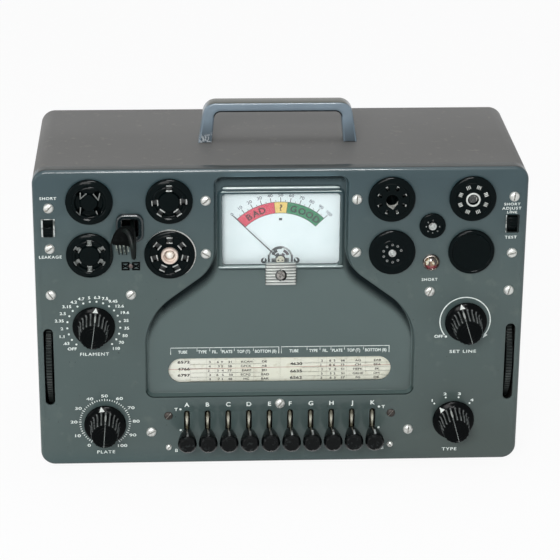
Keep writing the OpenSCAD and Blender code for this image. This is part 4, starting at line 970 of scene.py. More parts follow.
print("knobs:", list(KNOBS))

# %% [markdown]
# ## Selector levers
# Ten flat steel levers swing on one rod behind the panel. Each has a moulded tip shaped
# like a drop, flat at the end where the finger pushes, and worn grey with a painted highlight
# along its top near that end.

# %% Finishes of the levers
lever_shine = Finish("lever_bakelite", (7, 10, 11), 0.2, specular=0.12).uneven(0.1, 0.22, 110, 0.3, 0.7)
lever_shine.mottle((34, 38, 38), 340, 0.60, 0.70, 5)
# Painted highlight and wear along the top of each tip near its end, stronger on the levers right of the
# middle
lever_shine.tint((214, 218, 216), lever_shine.marked("painted_light_and_wear"), lever_shine.noise(90, 0.35, 0.55))
shank_metal = Finish("lever_shank", (116, 114, 100), 0.4, 0.1, 0.3).mottle((84, 80, 62), 260, 0.42, 0.62, 4)
# Painted highlight across the middle of the shank, and painted shade on its upper part inside the slot
shank_metal.band((208, 206, 190), "z", 33.5, 38.0, 1.8).band((84, 82, 66), "z", 40.6, 50, 1.0)

# %% Lever tips, shanks and hubs
TIP_ROOT, TIP_REACH, TIP_R = 1.6, 27.6, 7.25
ROD_Y = 38
tip_length = TIP_REACH - TIP_ROOT
tip_steps = [(0.0, 0.0), (1.7, 0.0), (2.2, 0.2), (2.7, 1.0), (3.6, 2.6), (4.4, 4.8), (5.1, 7.4), (5.7, 10.2),
             (6.2, 13.0), (6.6, 15.6), (6.95, 18.2), (7.15, 20.4), (TIP_R, 22.0), (7.15, 23.3), (6.85, 24.2),
             (6.3, 25.05), (5.8, 25.6), (5.4, tip_length), (5.1, tip_length - 0.1), (4.9, tip_length - 0.4),
             (0.0, tip_length - 0.5)]
# The fin's half width at each height on the panel
FIN_STEPS = ((29.6, 0.7), (32.5, 0.75), (35.5, 0.95), (38.0, 1.2), (40.0, 1.25), (41.4, 1.05), (42.3, 0.65))
for name, x in LEVERS:
    body = f"selector_{name}"
    mesh = bmesh.new()
    painted_light_and_wear = mesh.verts.layers.float.new("painted_light_and_wear")
    lathe(mesh, [(radius, -TIP_ROOT - out) for radius, out in tip_steps], x, LEVER_Z, 72)
    # Marks the painted highlight and wear on the tip's top, brighter right of the middle
    for vert in mesh.verts:
        if vert.co.z > LEVER_Z + 4 and -25.4 < vert.co.y < -15:
            vert[painted_light_and_wear] = max(0.0, 1 - (vert.co.x - x - 0.3) ** 2 / 0.8) * (1 if x > 0 else 0.4)
    finished(mesh, f"lever_{name}_tip", lever_shine, "black_bakelite", body, 40)
    mesh = bmesh.new()
    skin(mesh, [ring(mesh, round_rect(width, height, soft, x, LEVER_Z, 3), y) for width, height, soft, y in (
        (1.6, 4.8, 0.3, -TIP_ROOT - 0.3), (1.6, 4.8, 0.3, -TIP_ROOT + 1), (2.5, 6.0, 0.4, 6),
        (2.5, 6.0, 0.4, ROD_Y), (3.6, 4.0, 0.4, 49))], capped=True)
    # The blade widens into a fin just behind the panel
    fin = []
    for z, half in FIN_STEPS:
        front = ROD_Y - math.sqrt(38.2 ** 2 - (z - LEVER_Z) ** 2)
        deep = 15 - (z - 29.6) * 0.6
        fin.append([mesh.verts.new((x + side, y, z)) for side, y in (
            (-half * 0.6, front), (half * 0.6, front), (half, front + 0.5), (half, deep), (-half, deep),
            (-half, front + 0.5))])
    skin(mesh, fin, capped=True)
    finished(mesh, f"lever_{name}_shank", shank_metal, "nickel", body, 30, replaces=f"lever_{name}")
    mesh = bmesh.new()
    plate(mesh, circle(0, 0, 6, 32), -1.8, 1.8, 0.3,
          Matrix.Translation((x, ROD_Y, LEVER_Z)) @ Matrix.Rotation(math.radians(90), 4, "Z"))
    finished(mesh, f"lever_{name}_hub", steel, "bare_steel", body, 30)
print("levers:", len(LEVERS))

# %% [markdown]
# ## The meter
# Behind the window lies a printed dial: a red, a yellow and a green band under a scale
# of 0 to 100. The needle's pivot and the magnet's yoke show at its foot, and a ribbed
# plate with the zero adjuster covers the rest.

# %% Dial plate and its bands
DIAL_Y, PIVOT_Z = 12, WINDOW_LOW + 3.3
SWING, DOUBT_START, DOUBT_END = 45, -6.2, 6.6
BAND_LOW, BAND_HIGH = 37.2, 46.0
dial_white = Finish("dial_paint", (238, 250, 252), specular=0.2).mottle((229, 243, 245), 45, 0.4, 0.75)
refinish(dial_white, "dial_white", 0, "meter_dial")


def on_dial(radius, turn, rise=0.0):
    return polar(0, PIVOT_Z + rise, radius, turn)


def swept(radius, start, end, steps=24, rise=0.0):
    """Places on an arc round the pivot."""
    return [on_dial(radius, start + (end - start) * i / steps, rise) for i in range(steps + 1)]


for name, start, end, shade in (("band_bad", -SWING, DOUBT_START, (224, 66, 92)),
                                ("band_doubtful", DOUBT_START, DOUBT_END, (240, 208, 112)),
                                ("band_good", DOUBT_END, SWING, (16, 128, 80))):
    mesh = bmesh.new()
    sheet(mesh, [ring(mesh, pair, DIAL_Y - 0.04)
                 for pair in zip(swept(BAND_LOW, start, end), swept(BAND_HIGH, start, end))])
    printed(mesh, name, ink(name + "_ink", *shade), "dial_white")

# %% Dial scale and words
line_y = DIAL_Y - 0.08
mesh = bmesh.new()
for radius in (BAND_LOW, BAND_HIGH):
    stroke(mesh, swept(radius, -SWING, SWING, 30), 0.36, line_y)
for turn in (-SWING, DOUBT_START, DOUBT_END, SWING):
    stroke(mesh, [on_dial(radius, turn) for radius in (BAND_LOW, BAND_HIGH)], 0.3, line_y)
for i in range(21):
    low, high, width = (BAND_HIGH, 49.6, 0.5) if i % 2 == 0 else (46.4, 47.4, 0.4)
    stroke(mesh, [on_dial(radius, -SWING + 4.5 * i) for radius in (low, high)], width, line_y)
block(mesh, (-1.2, line_y - 0.02, PIVOT_Z + 31.4), (1.2, line_y, PIVOT_Z + 33.2))
printed(mesh, "dial_lines", ink("dial_black", 34, 40, 46), "dial_white")
mesh = bmesh.new()
for i in range(11):
    turn = -SWING + 9 * i
    letters(mesh, str(10 * i), 2.5, *on_dial(51.6, turn), line_y, turn, bold=0.014)
printed(mesh, "dial_numbers", ink("dial_grey", 92, 100, 116), "dial_white")
for name, word, shade in (("word_bad", (("B", -34.6), ("A", -27.0), ("D", -19.4)), (84, 10, 28)),
                          ("word_doubtful", (("?", 0.3),), (96, 62, 24)),
                          ("word_good", (("G", 13.6), ("O", 22.8), ("O", 31.6), ("D", 40.2)), (0, 30, 18))):
    mesh = bmesh.new()
    for letter, turn in word:
        letters(mesh, letter, 5.0, *on_dial(41.6, turn), line_y, turn, wide=1.05, bold=0.038)
    printed(mesh, name, ink(name + "_ink", *shade), "dial_white")
print("dial drawn round", round(PIVOT_Z, 1))

# %% Yoke and magnet
yoke_grey = Finish("yoke_metal", (168, 174, 174), 0.35, 0.8).mottle((96, 100, 102), 300, 0.45, 0.6)
magnet = Finish("magnet_black", (44, 50, 54), 0.45).band((74, 58, 72), "x", 1.0, 9.0, 1.5)


def arch(mesh, out, inner, start, end, front, back, rise=1.4):
    """A flat arc-shaped stamping round the pivot, so far in front of the dial."""
    outline = swept(out, start, end, rise=rise)[::-1] + swept(inner, start, end, rise=rise)
    plate(mesh, outline, DIAL_Y - front, DIAL_Y - back, 0.12)


def bar(mesh, x, left, right, front, back, low, high, soft):
    """A small block in front of the dial, measured from the pivot."""
    block(mesh, (x - left, DIAL_Y - front, PIVOT_Z + low), (x + right, DIAL_Y - back, PIVOT_Z + high), soft)


mesh = bmesh.new()
arch(mesh, 9.3, 7.9, -90, 90, 0.5, 0.05)
for side in (-1, 1):
    bar(mesh, side * 8.6, 0.75, 0.75, 0.55, 0.05, -2, 1.4, 0.1)
    bar(mesh, side * 5.0, 1.6, 1.6, 0.4, 0.05, -2, 1.2, 0.1)
finished(mesh, "meter_yoke", yoke_grey, "magnet_grey", smooth=30, replaces="meter_movement")
DIAL_SCREW_X, DIAL_SCREW_Z = 12.4, PIVOT_Z - 0.8
mesh = bmesh.new()
arch(mesh, 9.25, 7.2, -42, 8, 0.66, 0.5)
arch(mesh, 7.3, 5.2, -66, -22, 0.66, 0.3)
arch(mesh, 7.3, 5.2, 22, 68, 0.66, 0.3)
for side in (-1, 1):
    arch(mesh, 4.6, 2.2, 35 * side - 18, 35 * side + 18, 0.62, 0.3, rise=1.0)
    bar(mesh, side * 8.9, 0.55, 0.45, 0.66, 0.5, -1.5, 4.0, 0.08)
    lathe(mesh, [(0, DIAL_Y - 0.05), (2.25, DIAL_Y - 0.05), (2.2, DIAL_Y - 0.5), (1.5, DIAL_Y - 0.66),
                 (0, DIAL_Y - 0.68)], side * DIAL_SCREW_X, DIAL_SCREW_Z, 24)
finished(mesh, "meter_magnet", magnet, "magnet_grey", smooth=30)
mesh = bmesh.new()
for side, turn in ((-1, 12), (1, -25)):
    block(mesh, (-0.5, DIAL_Y - 0.72, -0.2), (0.5, DIAL_Y - 0.6, 2.1), 0.05,
          about(side * DIAL_SCREW_X, DIAL_SCREW_Z, turn))
finished(mesh, "dial_screw_slots", dial_white, "dial_white", smooth=0)

# %% Needle
mesh = bmesh.new()
at_zero = about(0, PIVOT_Z, -SWING)
plate(mesh, [(-0.45, -7), (0.45, -7), (0.5, 4), (0.24, 51), (-0.24, 51), (-0.5, 4)],
      DIAL_Y - 1.62, DIAL_Y - 1.28, 0.05, at_zero)
plate(mesh, circle(0, -5.6, 1.1, 20), DIAL_Y - 1.7, DIAL_Y - 1.2, 0.1, at_zero)
finished(mesh, "needle", Finish("needle_black", (40, 44, 48)), "needle_black", "needle", 30,
         replaces="meter_needle")
hub_steps = [(0, 1.0), (3.1, 1.0), (3.15, 1.5), (2.8, 1.85), (2.2, 1.9), (1.9, 1.7), (0.9, 1.7), (0.8, 2.0),
             (0, 2.05)]
turned("needle_hub", [(radius, DIAL_Y - front) for radius, front in hub_steps], 0, PIVOT_Z, 40,
       Finish("hub_cream", (236, 234, 214), 0.4), "needle_black", body="needle")
mesh = bmesh.new()
for side in (-1, 1):
    dot(mesh, side * 1.45, PIVOT_Z - 0.1, 0.55, DIAL_Y - 1.93)
printed(mesh, "needle_hub_marks", magnet, "needle_black", "needle")

# %% Glass and ribbed cover plate
refinish(Finish("meter_glass", (240, 250, 250), 0.04, alpha=0.06), "meter_glass", 0, "meter_glass")
refinish(Finish("meter_case_black", (26, 26, 28), 0.4), "meter_black", 0.2, "meter_case")
ribbed = Finish("ribbed_plate", (206, 210, 206), 0.3, 0.85)
# Painted shade in the grooves between the ribs and along the plate's sunken edges
ribbed.mottle((176, 178, 176), 160, 0.45, 0.7, stretch=(0.4, 1, 3)).band((116, 120, 118), "y", 1.5, 3, 0.15)
PLATE_HALF, PLATE_LOW, PLATE_HIGH = 11.6, WINDOW_LOW - 13.3, WINDOW_LOW + 4.3
PLATE_BACK, RIB_PITCH = 3.5, 2.35
mesh = bmesh.new()
profile = [(PLATE_BACK, PLATE_LOW), (1.35, PLATE_LOW)]
rib = PLATE_LOW + 0.15
while rib + 2.2 < PLATE_HIGH:
    profile += [(y, rib + up) for y, up in ((1.1, 0.25), (1.0, 0.75), (1.1, 1.25), (1.45, 1.45), (1.85, 1.65),
                                            (1.85, 2.0), (1.45, 2.2))]
    rib += RIB_PITCH
profile += [(1.1, rib + 0.15), (1.2, PLATE_HIGH - 0.2), (1.6, PLATE_HIGH), (PLATE_BACK, PLATE_HIGH)]
across = spanned(PLATE_HALF, ((0, 1.1), (0.15, 0.5), (0.6, 0.12), (1.2, 0.0)))
skin(mesh, [[mesh.verts.new((x, min(y + sink, PLATE_BACK), z)) for y, z in profile] for x, sink in across],
     capped=True)
block(mesh, (-PLATE_HALF + 0.2, 3.4, PLATE_LOW + 0.1), (PLATE_HALF - 0.2, RECESS_D, WINDOW_LOW - 4.0), 0.1)
finished(mesh, "cover_plate", ribbed, "nickel", smooth=28, replaces="meter_cover_plate")

# %% Zero adjuster
ADJUST_Z = WINDOW_LOW - 4.9
boss_side = range(25, 156, 10)
boss_outline = ([polar(0, ADJUST_Z - 0.5, 4.3, 180 - t) for t in boss_side][::-1]
                + [(0.35, ADJUST_Z + 4.5), (-0.35, ADJUST_Z + 4.5)]
                + [polar(0, ADJUST_Z - 0.5, 4.3, -t) for t in boss_side]
                + [(-0.35, ADJUST_Z - 5.2), (0.35, ADJUST_Z - 5.2)])
mesh = bmesh.new()
plate(mesh, boss_outline, 0.55, 2.2, 0.15)
finished(mesh, "adjuster_boss", Finish("boss_rim", (92, 94, 94), 0.4, 0.7), "nickel", smooth=30)
adjuster_metal = Finish("adjuster_metal", (158, 156, 152), 0.4, 0.5).mottle((100, 96, 93), 600, 0.46, 0.6, 4)
screw = turned("adjuster_screw", [(0, 0.6), (3.3, 0.6), (3.3, -0.3), (3.0, -0.75), (2.2, -0.9), (0, -0.95)],
               0, ADJUST_Z, 48, adjuster_metal, "nickel", body="zero_adjuster", replaces="zero_adjust_screw")
cutter = bmesh.new()
block(cutter, (-4, -1.6, -0.45), (4, -0.35, 0.45), place=about(0, ADJUST_Z, -52))
cut_away(screw, cutter)
seated(screw, "zero_adjuster")
print("meter done")

# %% [markdown]
# ## The roll chart
# A long strip of settings runs behind the lower window, turned by the thumbwheel at
# either side. The strip gets its own gentle yellowing, ruled lines and rows of figures.

# %% Chart paper
PAPER_Y = 9.25
paper = Finish("chart_paper", (236, 236, 224), 0.8, specular=0.15)
paper.mottle((226, 227, 209), 28, 0.35, 0.7, stretch=(0.4, 1, 1.6))
paper.mottle((214, 212, 194), 240, 0.55, 0.72, 5)
refinish(paper, "chart_paper", 0, "chart_paper")

# Two half sheets: the left edge of each, and the heights of its longer numbers
halves = ((-85.0, (81.4, 75.6, 70.4)), (1.2, (79.0, 72.8, 67.4)))
mesh = bmesh.new()
random.seed(5)
for left, number_rows in halves:
    for row, z in enumerate((81.2, 77.6, 74.0, 70.4, 66.9, 63.4)):
        if row < len(number_rows):
            letters(mesh, str(random.randint(4021, 6998)), 2.2, left + 11.5, number_rows[row], PAPER_Y - 0.03,
                    wide=1.55, bold=0.05)
        entries = ((31.0, str(random.randint(1, 4))), (37.8, str(random.randint(1, 9))),
                   (41.2, str(random.randint(1, 9))), (47.2, str(random.randint(20, 78))),
                   (59.5, "".join(random.sample("ACEFGHK", random.choice((2, 4, 4))))),
                   (73.5, "".join(random.sample("ABDEHK", random.choice((2, 2, 3))))))
        for x, words in entries:
            letters(mesh, words, 1.8, left + x + random.uniform(-0.6, 0.6), z, PAPER_Y - 0.03,
                    wide=1.3, bold=0.035)
printed(mesh, "chart_figures", ink("chart_ink", 58, 56, 52), "chart_paper")
mesh = bmesh.new()
for x in (-68.4, -56.0, -49.6, -33.6, -20.0, 0.4, 16.4, 29.6, 36.0, 51.6, 66.0):
    stroke(mesh, [(x, 95.0), (x, 60.0)], 0.16, PAPER_Y - 0.02)
for z in (79.4, 75.8, 72.2, 68.6, 65.1):
    for start, end in ((-68.4, -12), (16.4, 88.8)):
        stroke(mesh, [(start, z), (end, z)], 0.3, PAPER_Y - 0.02)
printed(mesh, "chart_rules", ink("chart_rule_ink", 128, 124, 110), "chart_paper")
mesh = bmesh.new()
stroke(mesh, [(-88.8, 75.2), (88.8, 77.2)], 0.35, PAPER_Y - 0.04)
printed(mesh, "chart_reading_line", ink("reading_line_ink", 176, 118, 108), "chart_paper")

# %% Spools and thumbwheels
board = Finish("phenolic_board", (112, 74, 42), 0.55).mottle((88, 56, 32), 200, 0.4, 0.7, stretch=(0.3, 1, 1))
refinish(board, "phenolic", 0.2, "drive_roller", "supply_roller", "rotary_switches")

wheel_black = Finish("wheel_bakelite", (14, 20, 20), 0.5, specular=0.15)
wheel_black.tint((56, 64, 62), wheel_black.marked("crest"), wheel_black.noise(130, 0.3, 0.7))
WHEEL_R, WHEEL_Y, WHEEL_W, WEB_HALF, TOOTH_D, WHEEL_STEPS = 45, 43.4, 4.7, 0.95, 0.75, 432


def wheel_ring(mesh, x, radius_at):
    """A ring of points round the wheel's own axle."""
    spokes = [(radius_at(i), t) for i, t in enumerate(fan(360 / WHEEL_STEPS, WHEEL_STEPS))]
    return [mesh.verts.new((x, r * math.cos(t), r * math.sin(t))) for r, t in spokes]


def toothed(drop):
    """The wheel's radius at each step of a row: two on a tooth, then two in a valley."""
    return lambda i: WHEEL_R - max(drop, TOOTH_D if i % 4 >= 2 else 0.0)


for side, word in ((-1, "left"), (1, "right")):
    mesh = bmesh.new()
    crest = mesh.verts.layers.float.new("crest")
    edge = WHEEL_W / 2
    rings = [wheel_ring(mesh, x, toothed(drop))
             for x, drop in ((-edge, 0.9), (-edge + 0.5, 0.0), (edge - 0.5, 0.0), (edge, 0.9))]
    for loop in rings[1:3]:
        for vert in loop[::4] + loop[1::4]:
            vert[crest] = 1.0
    # Each side steps in from the rim to a thin web and out again at the hub
    dished = [[wheel_ring(mesh, face * depth, lambda i: radius) for radius, depth in (
        (39.5, edge), (39.0, WEB_HALF), (7.0, WEB_HALF), (7.0, edge), (3.2, edge))] for face in (-1, 1)]
    skin(mesh, dished[0][::-1] + rings + dished[1], closed=True)
    finished(mesh, f"{word}_thumbwheel_rim", wheel_black, "black_bakelite", "chart_drive", 25,
             Matrix.Translation((side * WHEEL_X, WHEEL_Y, WHEEL_Z)), f"{word}_thumbwheel")
print("chart done")

# %% [markdown]
# ## Screws
# The heads are turned domes with one wide slot, each left at its own angle by whoever
# last drove it home. The two over the lever bank have gone rusty.

# %% Where the screws sit
def loose_parts(node):
    """Middle, half width and front depth of each loose part of a node, in millimetres."""
    whole = bmesh.new()
    whole.from_mesh(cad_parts[node].data)
    bmesh.ops.remove_doubles(whole, verts=whole.verts, dist=0.01 * MM)
    left, found = set(whole.verts), []
    while left:
        part, edge = set(), [left.pop()]
        while edge:
            vert = edge.pop()
            part.add(vert)
            near = {e.other_vert(vert) for e in vert.link_edges} & left
            left -= near
            edge += near
        spots = [to_frame.inverted() @ vert.co for vert in part]
        low, high = [Vector(pick(spot[i] for spot in spots) for i in range(3)) for pick in (min, max)]
        found.append(((low.x + high.x) / 2, (low.z + high.z) / 2, (high.x - low.x) / 2, low.y))
    whole.free()
    return found


# %% Screw heads
rusty = Finish("rusty_screw", (66, 60, 56), 0.6, 0.4).mottle((40, 38, 37), 700, 0.45, 0.62, 4)
# Plates at the foot of the slots: painted shade and dirt in the plain heads, a painted highlight in the rusty
# ones
slot_shade_and_dirt = Finish("slot_shade_and_dirt", (112, 112, 107), 0.7).mottle((142, 140, 134), 600, 0.4, 0.6)
slot_highlight = Finish("slot_highlight", (204, 202, 196), 0.4, 0.3).mottle((168, 160, 150), 600, 0.4, 0.6)
panel_heads = loose_parts("panel_screws")
# Where each slot was left: the screw's place on the panel and the turn of its slot
DRIVEN_TO = {
    (-173, 212): 42, (-172, 178): 54, (173, 216): 8, (173, 178): 76, (-54, 215): 48, (-54, 173): -60,
    (54, 215): 2, (54, 173): 46, (-171, 142): -36, (-108, 142): 48, (108, 142): 26, (171, 142): 14,
    (-92, 27): 64, (92, 27): 4, (0, 50): 36, (-87, 14): 30, (87, 14): -30, (-87, 41): 42, (87, 41): 40}
is_rusty = [abs(x) > 80 and 39 < z < 43 for x, z, half, top in panel_heads]
for name, metal, painted_light_and_dirt, wanted in (("screw_heads", screw_metal, slot_shade_and_dirt, False),
                                  ("rusty_heads", rusty, slot_highlight, True)):
    mesh, slots, slot_light_and_shade = bmesh.new(), bmesh.new(), bmesh.new()
    for (x, z, half, top), old in zip(panel_heads, is_rusty):
        if old != wanted:
            continue
        # The two beside the levers' feet are a smaller size of screw
        half *= 0.66 if 80 < abs(x) < 92 and z < 24 else 0.92
        lathe(mesh, [(0, top), (0.45 * half, 0.97 * top), (0.75 * half, 0.82 * top), (0.93 * half, 0.5 * top),
                     (half, 0.12 * top), (half, 0), (0.3 * half, 0.02)], x, z, 40)
        nearest = min(DRIVEN_TO, key=lambda spot: math.dist(spot, (x, z)))
        turn = about(x, z, DRIVEN_TO[nearest])
        block(slots, (-0.12 * half, top - 1, -half - 1), (0.12 * half, top * 0.42, half + 1), place=turn)
        # A thin plate at the foot of each slot: painted shade in a plain head, a painted highlight in a rusty
        # one
        block(slot_light_and_shade, (-0.115 * half, top * 0.44, -0.84 * half), (0.115 * half, top * 0.3, 0.84 * half),
              place=turn)
    heads = finished(mesh, name, metal, "nickel", smooth=40, replaces=None if wanted else "panel_screws")
    cut_away(heads, slots)
    seated(heads, smooth=40)
    finished(slot_light_and_shade, name + "_slots", painted_light_and_dirt, "nickel", smooth=0)
print("screws:", len(panel_heads), "of them rusty:", sum(is_rusty))

# %% [markdown]
# ## Switches, lamp and grid lead
# The last small pieces: two slide switches, the jewel over the short lamp, and the lead
# whose clip goes on the metal cap on top of some tubes. The lead is a curve with the
# real lead's length; it leaves a lug inside the case and comes out of a square bezel.

# %% Slide switches
frame_metal = Finish("switch_frame_metal", (206, 212, 210), 0.32, 0.7)
# Painted shade: the right-hand switch's frame is dark except along its left edge
frame_metal.mottle((96, 102, 100), 300, 0.5, 0.62, 4).band((30, 38, 38), "x", 168.6, 200, 0.2)
refinish(frame_metal, "bare_steel", 0.12, "slide_switch_frames")
for word in ("leakage", "test"):
    low, high = [to_frame.inverted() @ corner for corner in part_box(f"{word}_button")]
    x, z = (low.x + high.x) / 2, (low.z + high.z) / 2
    mesh = bmesh.new()
    block(mesh, (x - 5.2, SHEET + 1.3, z - 8), (x + 5.2, SHEET + 4, z + 8), 0.2)
    block(mesh, (x - 3.5, -3.05, z - 3.8), (x + 3.5, SHEET + 1.4, z + 3.8), 0.35)
    for i in range(4):
        block(mesh, (x - 3.4, -3.6, z - 3.45 + i * 2.0), (x + 3.4, -2.9, z - 2.55 + i * 2.0), 0.25)
    finished(mesh, f"{word}_cap", bakelite, "black_bakelite", f"{word}_slider", replaces=f"{word}_button")

# %% Short lamp
chrome = Finish("lamp_ring", (156, 150, 144), 0.25, 0.8).mottle((66, 58, 54), 260, 0.46, 0.58, 5)
turned("lamp_ring", [(5.6, 0.0), (6.5, 0.0), (6.5, -0.5), (6.3, -1.2), (5.9, -1.8), (5.5, -2.0), (5.15, -1.7),
       (5.05, -1.1), (5.1, 0.2), (5.1, 1.0)], *LAMP, 64, chrome, "nickel", closed=True, smooth=40,
       replaces="short_lamp_bezel")
jewel = Finish("jewel_glass", (140, 112, 84), 0.1, coat=0.4)
# Painted glints and dark reflections in the facets
jewel.mottle((206, 204, 182), 420, 0.5, 0.56, 2).mottle((52, 40, 34), 330, 0.48, 0.42, 2)
jewel.band((136, 44, 56), "z", LAMP[1] - 9, LAMP[1] - 1.6, 1.2)
mesh = bmesh.new()
FACETS, FACET_TURN = 12, 30
rings = [ring(mesh, [(LAMP[0] + radius * math.cos(t), LAMP[1] + radius * math.sin(t))
                     for t in fan(FACET_TURN, FACETS, FACET_TURN * shift)], depth)
         for radius, depth, shift in ((5.0, 0.6, 0), (4.95, -1.5, 0), (4.2, -2.6, 0.5), (3.1, -3.5, 0),
                                      (1.9, -4.0, 0.5), (0.8, -4.15, 0))]
skin(mesh, rings[:2])
for step, (first, second) in enumerate(zip(rings[1:], rings[2:])):
    for a, b, c, d in zip(first, first[1:] + first[:1], second[1:] + second[:1], second):
        for corners in ((a, b, d), (b, c, d)) if step % 2 == 0 else ((a, b, c), (a, c, d)):
            mesh.faces.new(corners)
mesh.faces.new(rings[-1])
mesh.faces.new(rings[0])
finished(mesh, "lamp_jewel", jewel, "red_jewel", smooth=0, replaces="short_lamp_jewel")

# %% Bezel of the grid lead
mesh = bmesh.new()
rings = []
# Height, corner radius and depth of the bezel's section, from its outer edge to the bore
for height, corner, depth in (
        (22.0, 6.1, 0.0), (21.9, 6.0, -1.2), (21.4, 5.8, -2.2), (20.4, 5.4, -2.85), (19.2, 4.9, -3.0),
        (17.0, 3.9, -2.55), (15.6, 3.2, -2.1), (14.2, 2.3, -1.9), (13.5, 1.8, -1.5),
        (13.0, 1.6, -0.8), (13.0, 1.6, 8.5), (15.0, 2.4, 8.5), (15.2, 2.4, 0.0)):
    width = height - 1.2 if height > 14.5 else height - 0.6
    rings.append(ring(mesh, round_rect(width, height, corner, *LEAD_HOLE), depth))
skin(mesh, rings, closed=True)
# Painted shade: the parts set back from the bezel's crest get darker, down to nearly black in the bore
bezel_paint = Finish("bezel_paint", (24, 36, 39), 0.24, coat=0.5).band((20, 27, 30), "y", -1.7, 10, 0.3)
bezel_paint.band((6, 8, 8), "y", -1.0, 10, 0.3)
finished(mesh, "lead_bezel", bezel_paint, "panel_paint", smooth=50, replaces="grid_lead_bezel")

# %% Grid lead
LEAD_RADIUS, LEAD_LENGTH = 1.7, 0.197
LEAD_POINTS = [
    (-130, 24, 129), (-130, 31, 129.5), (-130, 38, 132), (-130, 43, 137), (-130, 47, 144), (-129, 52, 152),
    (-127, 56, 160), (-124, 58, 169), (-121, 57, 178), (-118, 53, 187), (-115, 46, 194), (-113, 37, 198),
    (-112, 28, 199), (-111.5, 19, 198), (-111, 10, 196.5), (-110.5, 2, 196), (-110, -5, 194.5),
    (-109.5, -9, 190), (-109.5, -10.5, 184.5), (-109.5, -12.5, 179.5), (-109.5, -17, 177), (-109.8, -21, 180),
    (-110.2, -21.5, 186), (-111.2, -19.5, 192), (-113.2, -16, 196.2), (-115.6, -12.4, 197.4),
    (-117.2, -9.8, 196), (-117.6, -9, 193.2)]
lead_rubber = Finish("lead_rubber", (9, 15, 14), 0.42, specular=0.15).mottle((18, 28, 25), 240, 0.5, 0.7)


def strand(name, places, radius, round_steps, along_steps, replaces=None):
    """A round rubber strand through a row of places."""
    curve = bpy.data.curves.new(name, "CURVE")
    curve.dimensions, curve.use_fill_caps = "3D", True
    curve.bevel_depth, curve.bevel_resolution = radius * MM, round_steps
    line = curve.splines.new("NURBS")
    line.points.add(len(places) - 1)
    for point, place in zip(line.points, places):
        point.co = (*(to_frame @ Vector(place)), 1)
    line.order_u, line.use_endpoint_u, line.resolution_u = 3, True, along_steps
    curve.materials.append(lead_rubber.material)
    return seated(linked(name, curve), smooth=0, replaces=replaces)


lead = strand("grid_lead_cord", LEAD_POINTS, LEAD_RADIUS, 6, 4, "grid_lead")

# %% The lead's clip
CLIP_X, CLIP_Y, CLIP_TOP = -117.6, -9, 194.4
SIDE_WIRE_RADIUS = 0.65
WIRE_POINTS = [(-122.4, -9, 188.0), (-124.2, -8.5, 189.4), (-126.4, -7, 186.0), (-126.8, -5, 180.0),
               (-126.4, -3.4, 173.5), (-127.4, -2.4, 168.0), (-129.0, -1.2, 164.0)]
mesh = bmesh.new()
boot = [(-7.6, -8.6), (-4.4, -9.2), (-0.6, -9.0), (3.2, -10.0), (5.9, -11.0), (8.2, -9.4), (8.6, -3.0),
        (7.8, 2.6), (5.2, 4.6), (0.8, 4.4), (-3.0, 2.8), (-5.4, 0.4), (-7.0, -2.8), (-8.4, -6.4)]
plate(mesh, [(CLIP_X + x, CLIP_TOP + z) for x, z in boot], CLIP_Y - 3.0, CLIP_Y + 3.0, 0.9)
boot_rubber = Finish("boot_rubber", (5, 7, 7), 0.7, specular=0.04).mottle((14, 17, 17), 420, 0.5, 0.64, 5)
boot_rubber.bump(0.5, 0.5, 500, 0, 1, 4)
clip_boot = finished(mesh, "clip_boot", boot_rubber, "rubber_black", smooth=60, replaces="grid_clip")
mesh = bmesh.new()
for x, wide, long in ((-5.2, 0.4, 5.6), (-2.5, 0.45, 7.2), (0.3, 0.5, 7.8), (3.2, 0.45, 6.4)):
    block(mesh, (-wide, -0.3, -long), (wide, 0.3, 0.6), 0.12,
          about(CLIP_X + x, CLIP_TOP - 9.0, -8, CLIP_Y + 0.2))
clip_metal = Finish("clip_metal", (150, 158, 148), 0.35, 0.7).mottle((74, 82, 76), 380, 0.46, 0.6, 4)
finished(mesh, "clip_leaves", clip_metal, "nickel", smooth=30)
mesh = bmesh.new()
for x, tilt in ((-3.9, -8), (-1.2, -6), (1.7, -6)):
    block(mesh, (-0.45, -0.45, -8.0), (0.45, 0.45, 0.6), 0.15,
          about(CLIP_X + x, CLIP_TOP - 9.2, tilt, CLIP_Y - 0.8))
finished(mesh, "clip_wires", lead_rubber, "rubber_black", smooth=30)
strand("clip_side_wire", WIRE_POINTS, SIDE_WIRE_RADIUS, 4, 12)
print("lead points:", len(LEAD_POINTS))

# %% Rest clip
REST_X, REST_Z = -112.3, 164.4
mesh = bmesh.new()
for side in (-1, 1):
    for x0, x1, z0, z1 in ((1.0, 6.9, 2.2, 3.2), (1.0, 6.9, -3.2, -2.2), (5.9, 6.9, -3.2, 3.2),
                           (0.9, 2.2, -3.0, 3.0)):
        block(mesh, (REST_X + side * x0, -0.9, REST_Z + z0), (REST_X + side * x1, -0.02, REST_Z + z1), 0.2)
    for tilt in (-58, 58):
        block(mesh, (-0.5, -0.8, -3.0), (0.5, -0.02, 3.0), 0.2, about(REST_X + side * 4.0, REST_Z, tilt))
finished(mesh, "rest_clip", boot_rubber, "bare_steel", smooth=30)
rivet = Finish("rivet_copper", (96, 86, 84), 0.4, 0.6).mottle((62, 58, 58), 500, 0.5, 0.65)
turned("rest_clip_rivet", [(0, -1.15), (1.2, -1.1), (1.7, -0.8), (1.8, -0.02), (0, -0.02)],
       REST_X, REST_Z, 24, rivet, "nickel", smooth=40)

# %% Pieces inside the case
winding = Finish("core_black", (34, 33, 32), 0.55).mottle((54, 48, 42), 300, 0.5, 0.7, stretch=(1, 1, 6))
refinish(winding, "core_black", 0.3, "power_transformer")
print("nodes replaced and refinished")

# %% [markdown]
# ## The bench and the light
# A pale bench, a broad soft key over the camera, a strip of sky above that draws the
# bright lines along the upper edges, and a weak fill from the left.

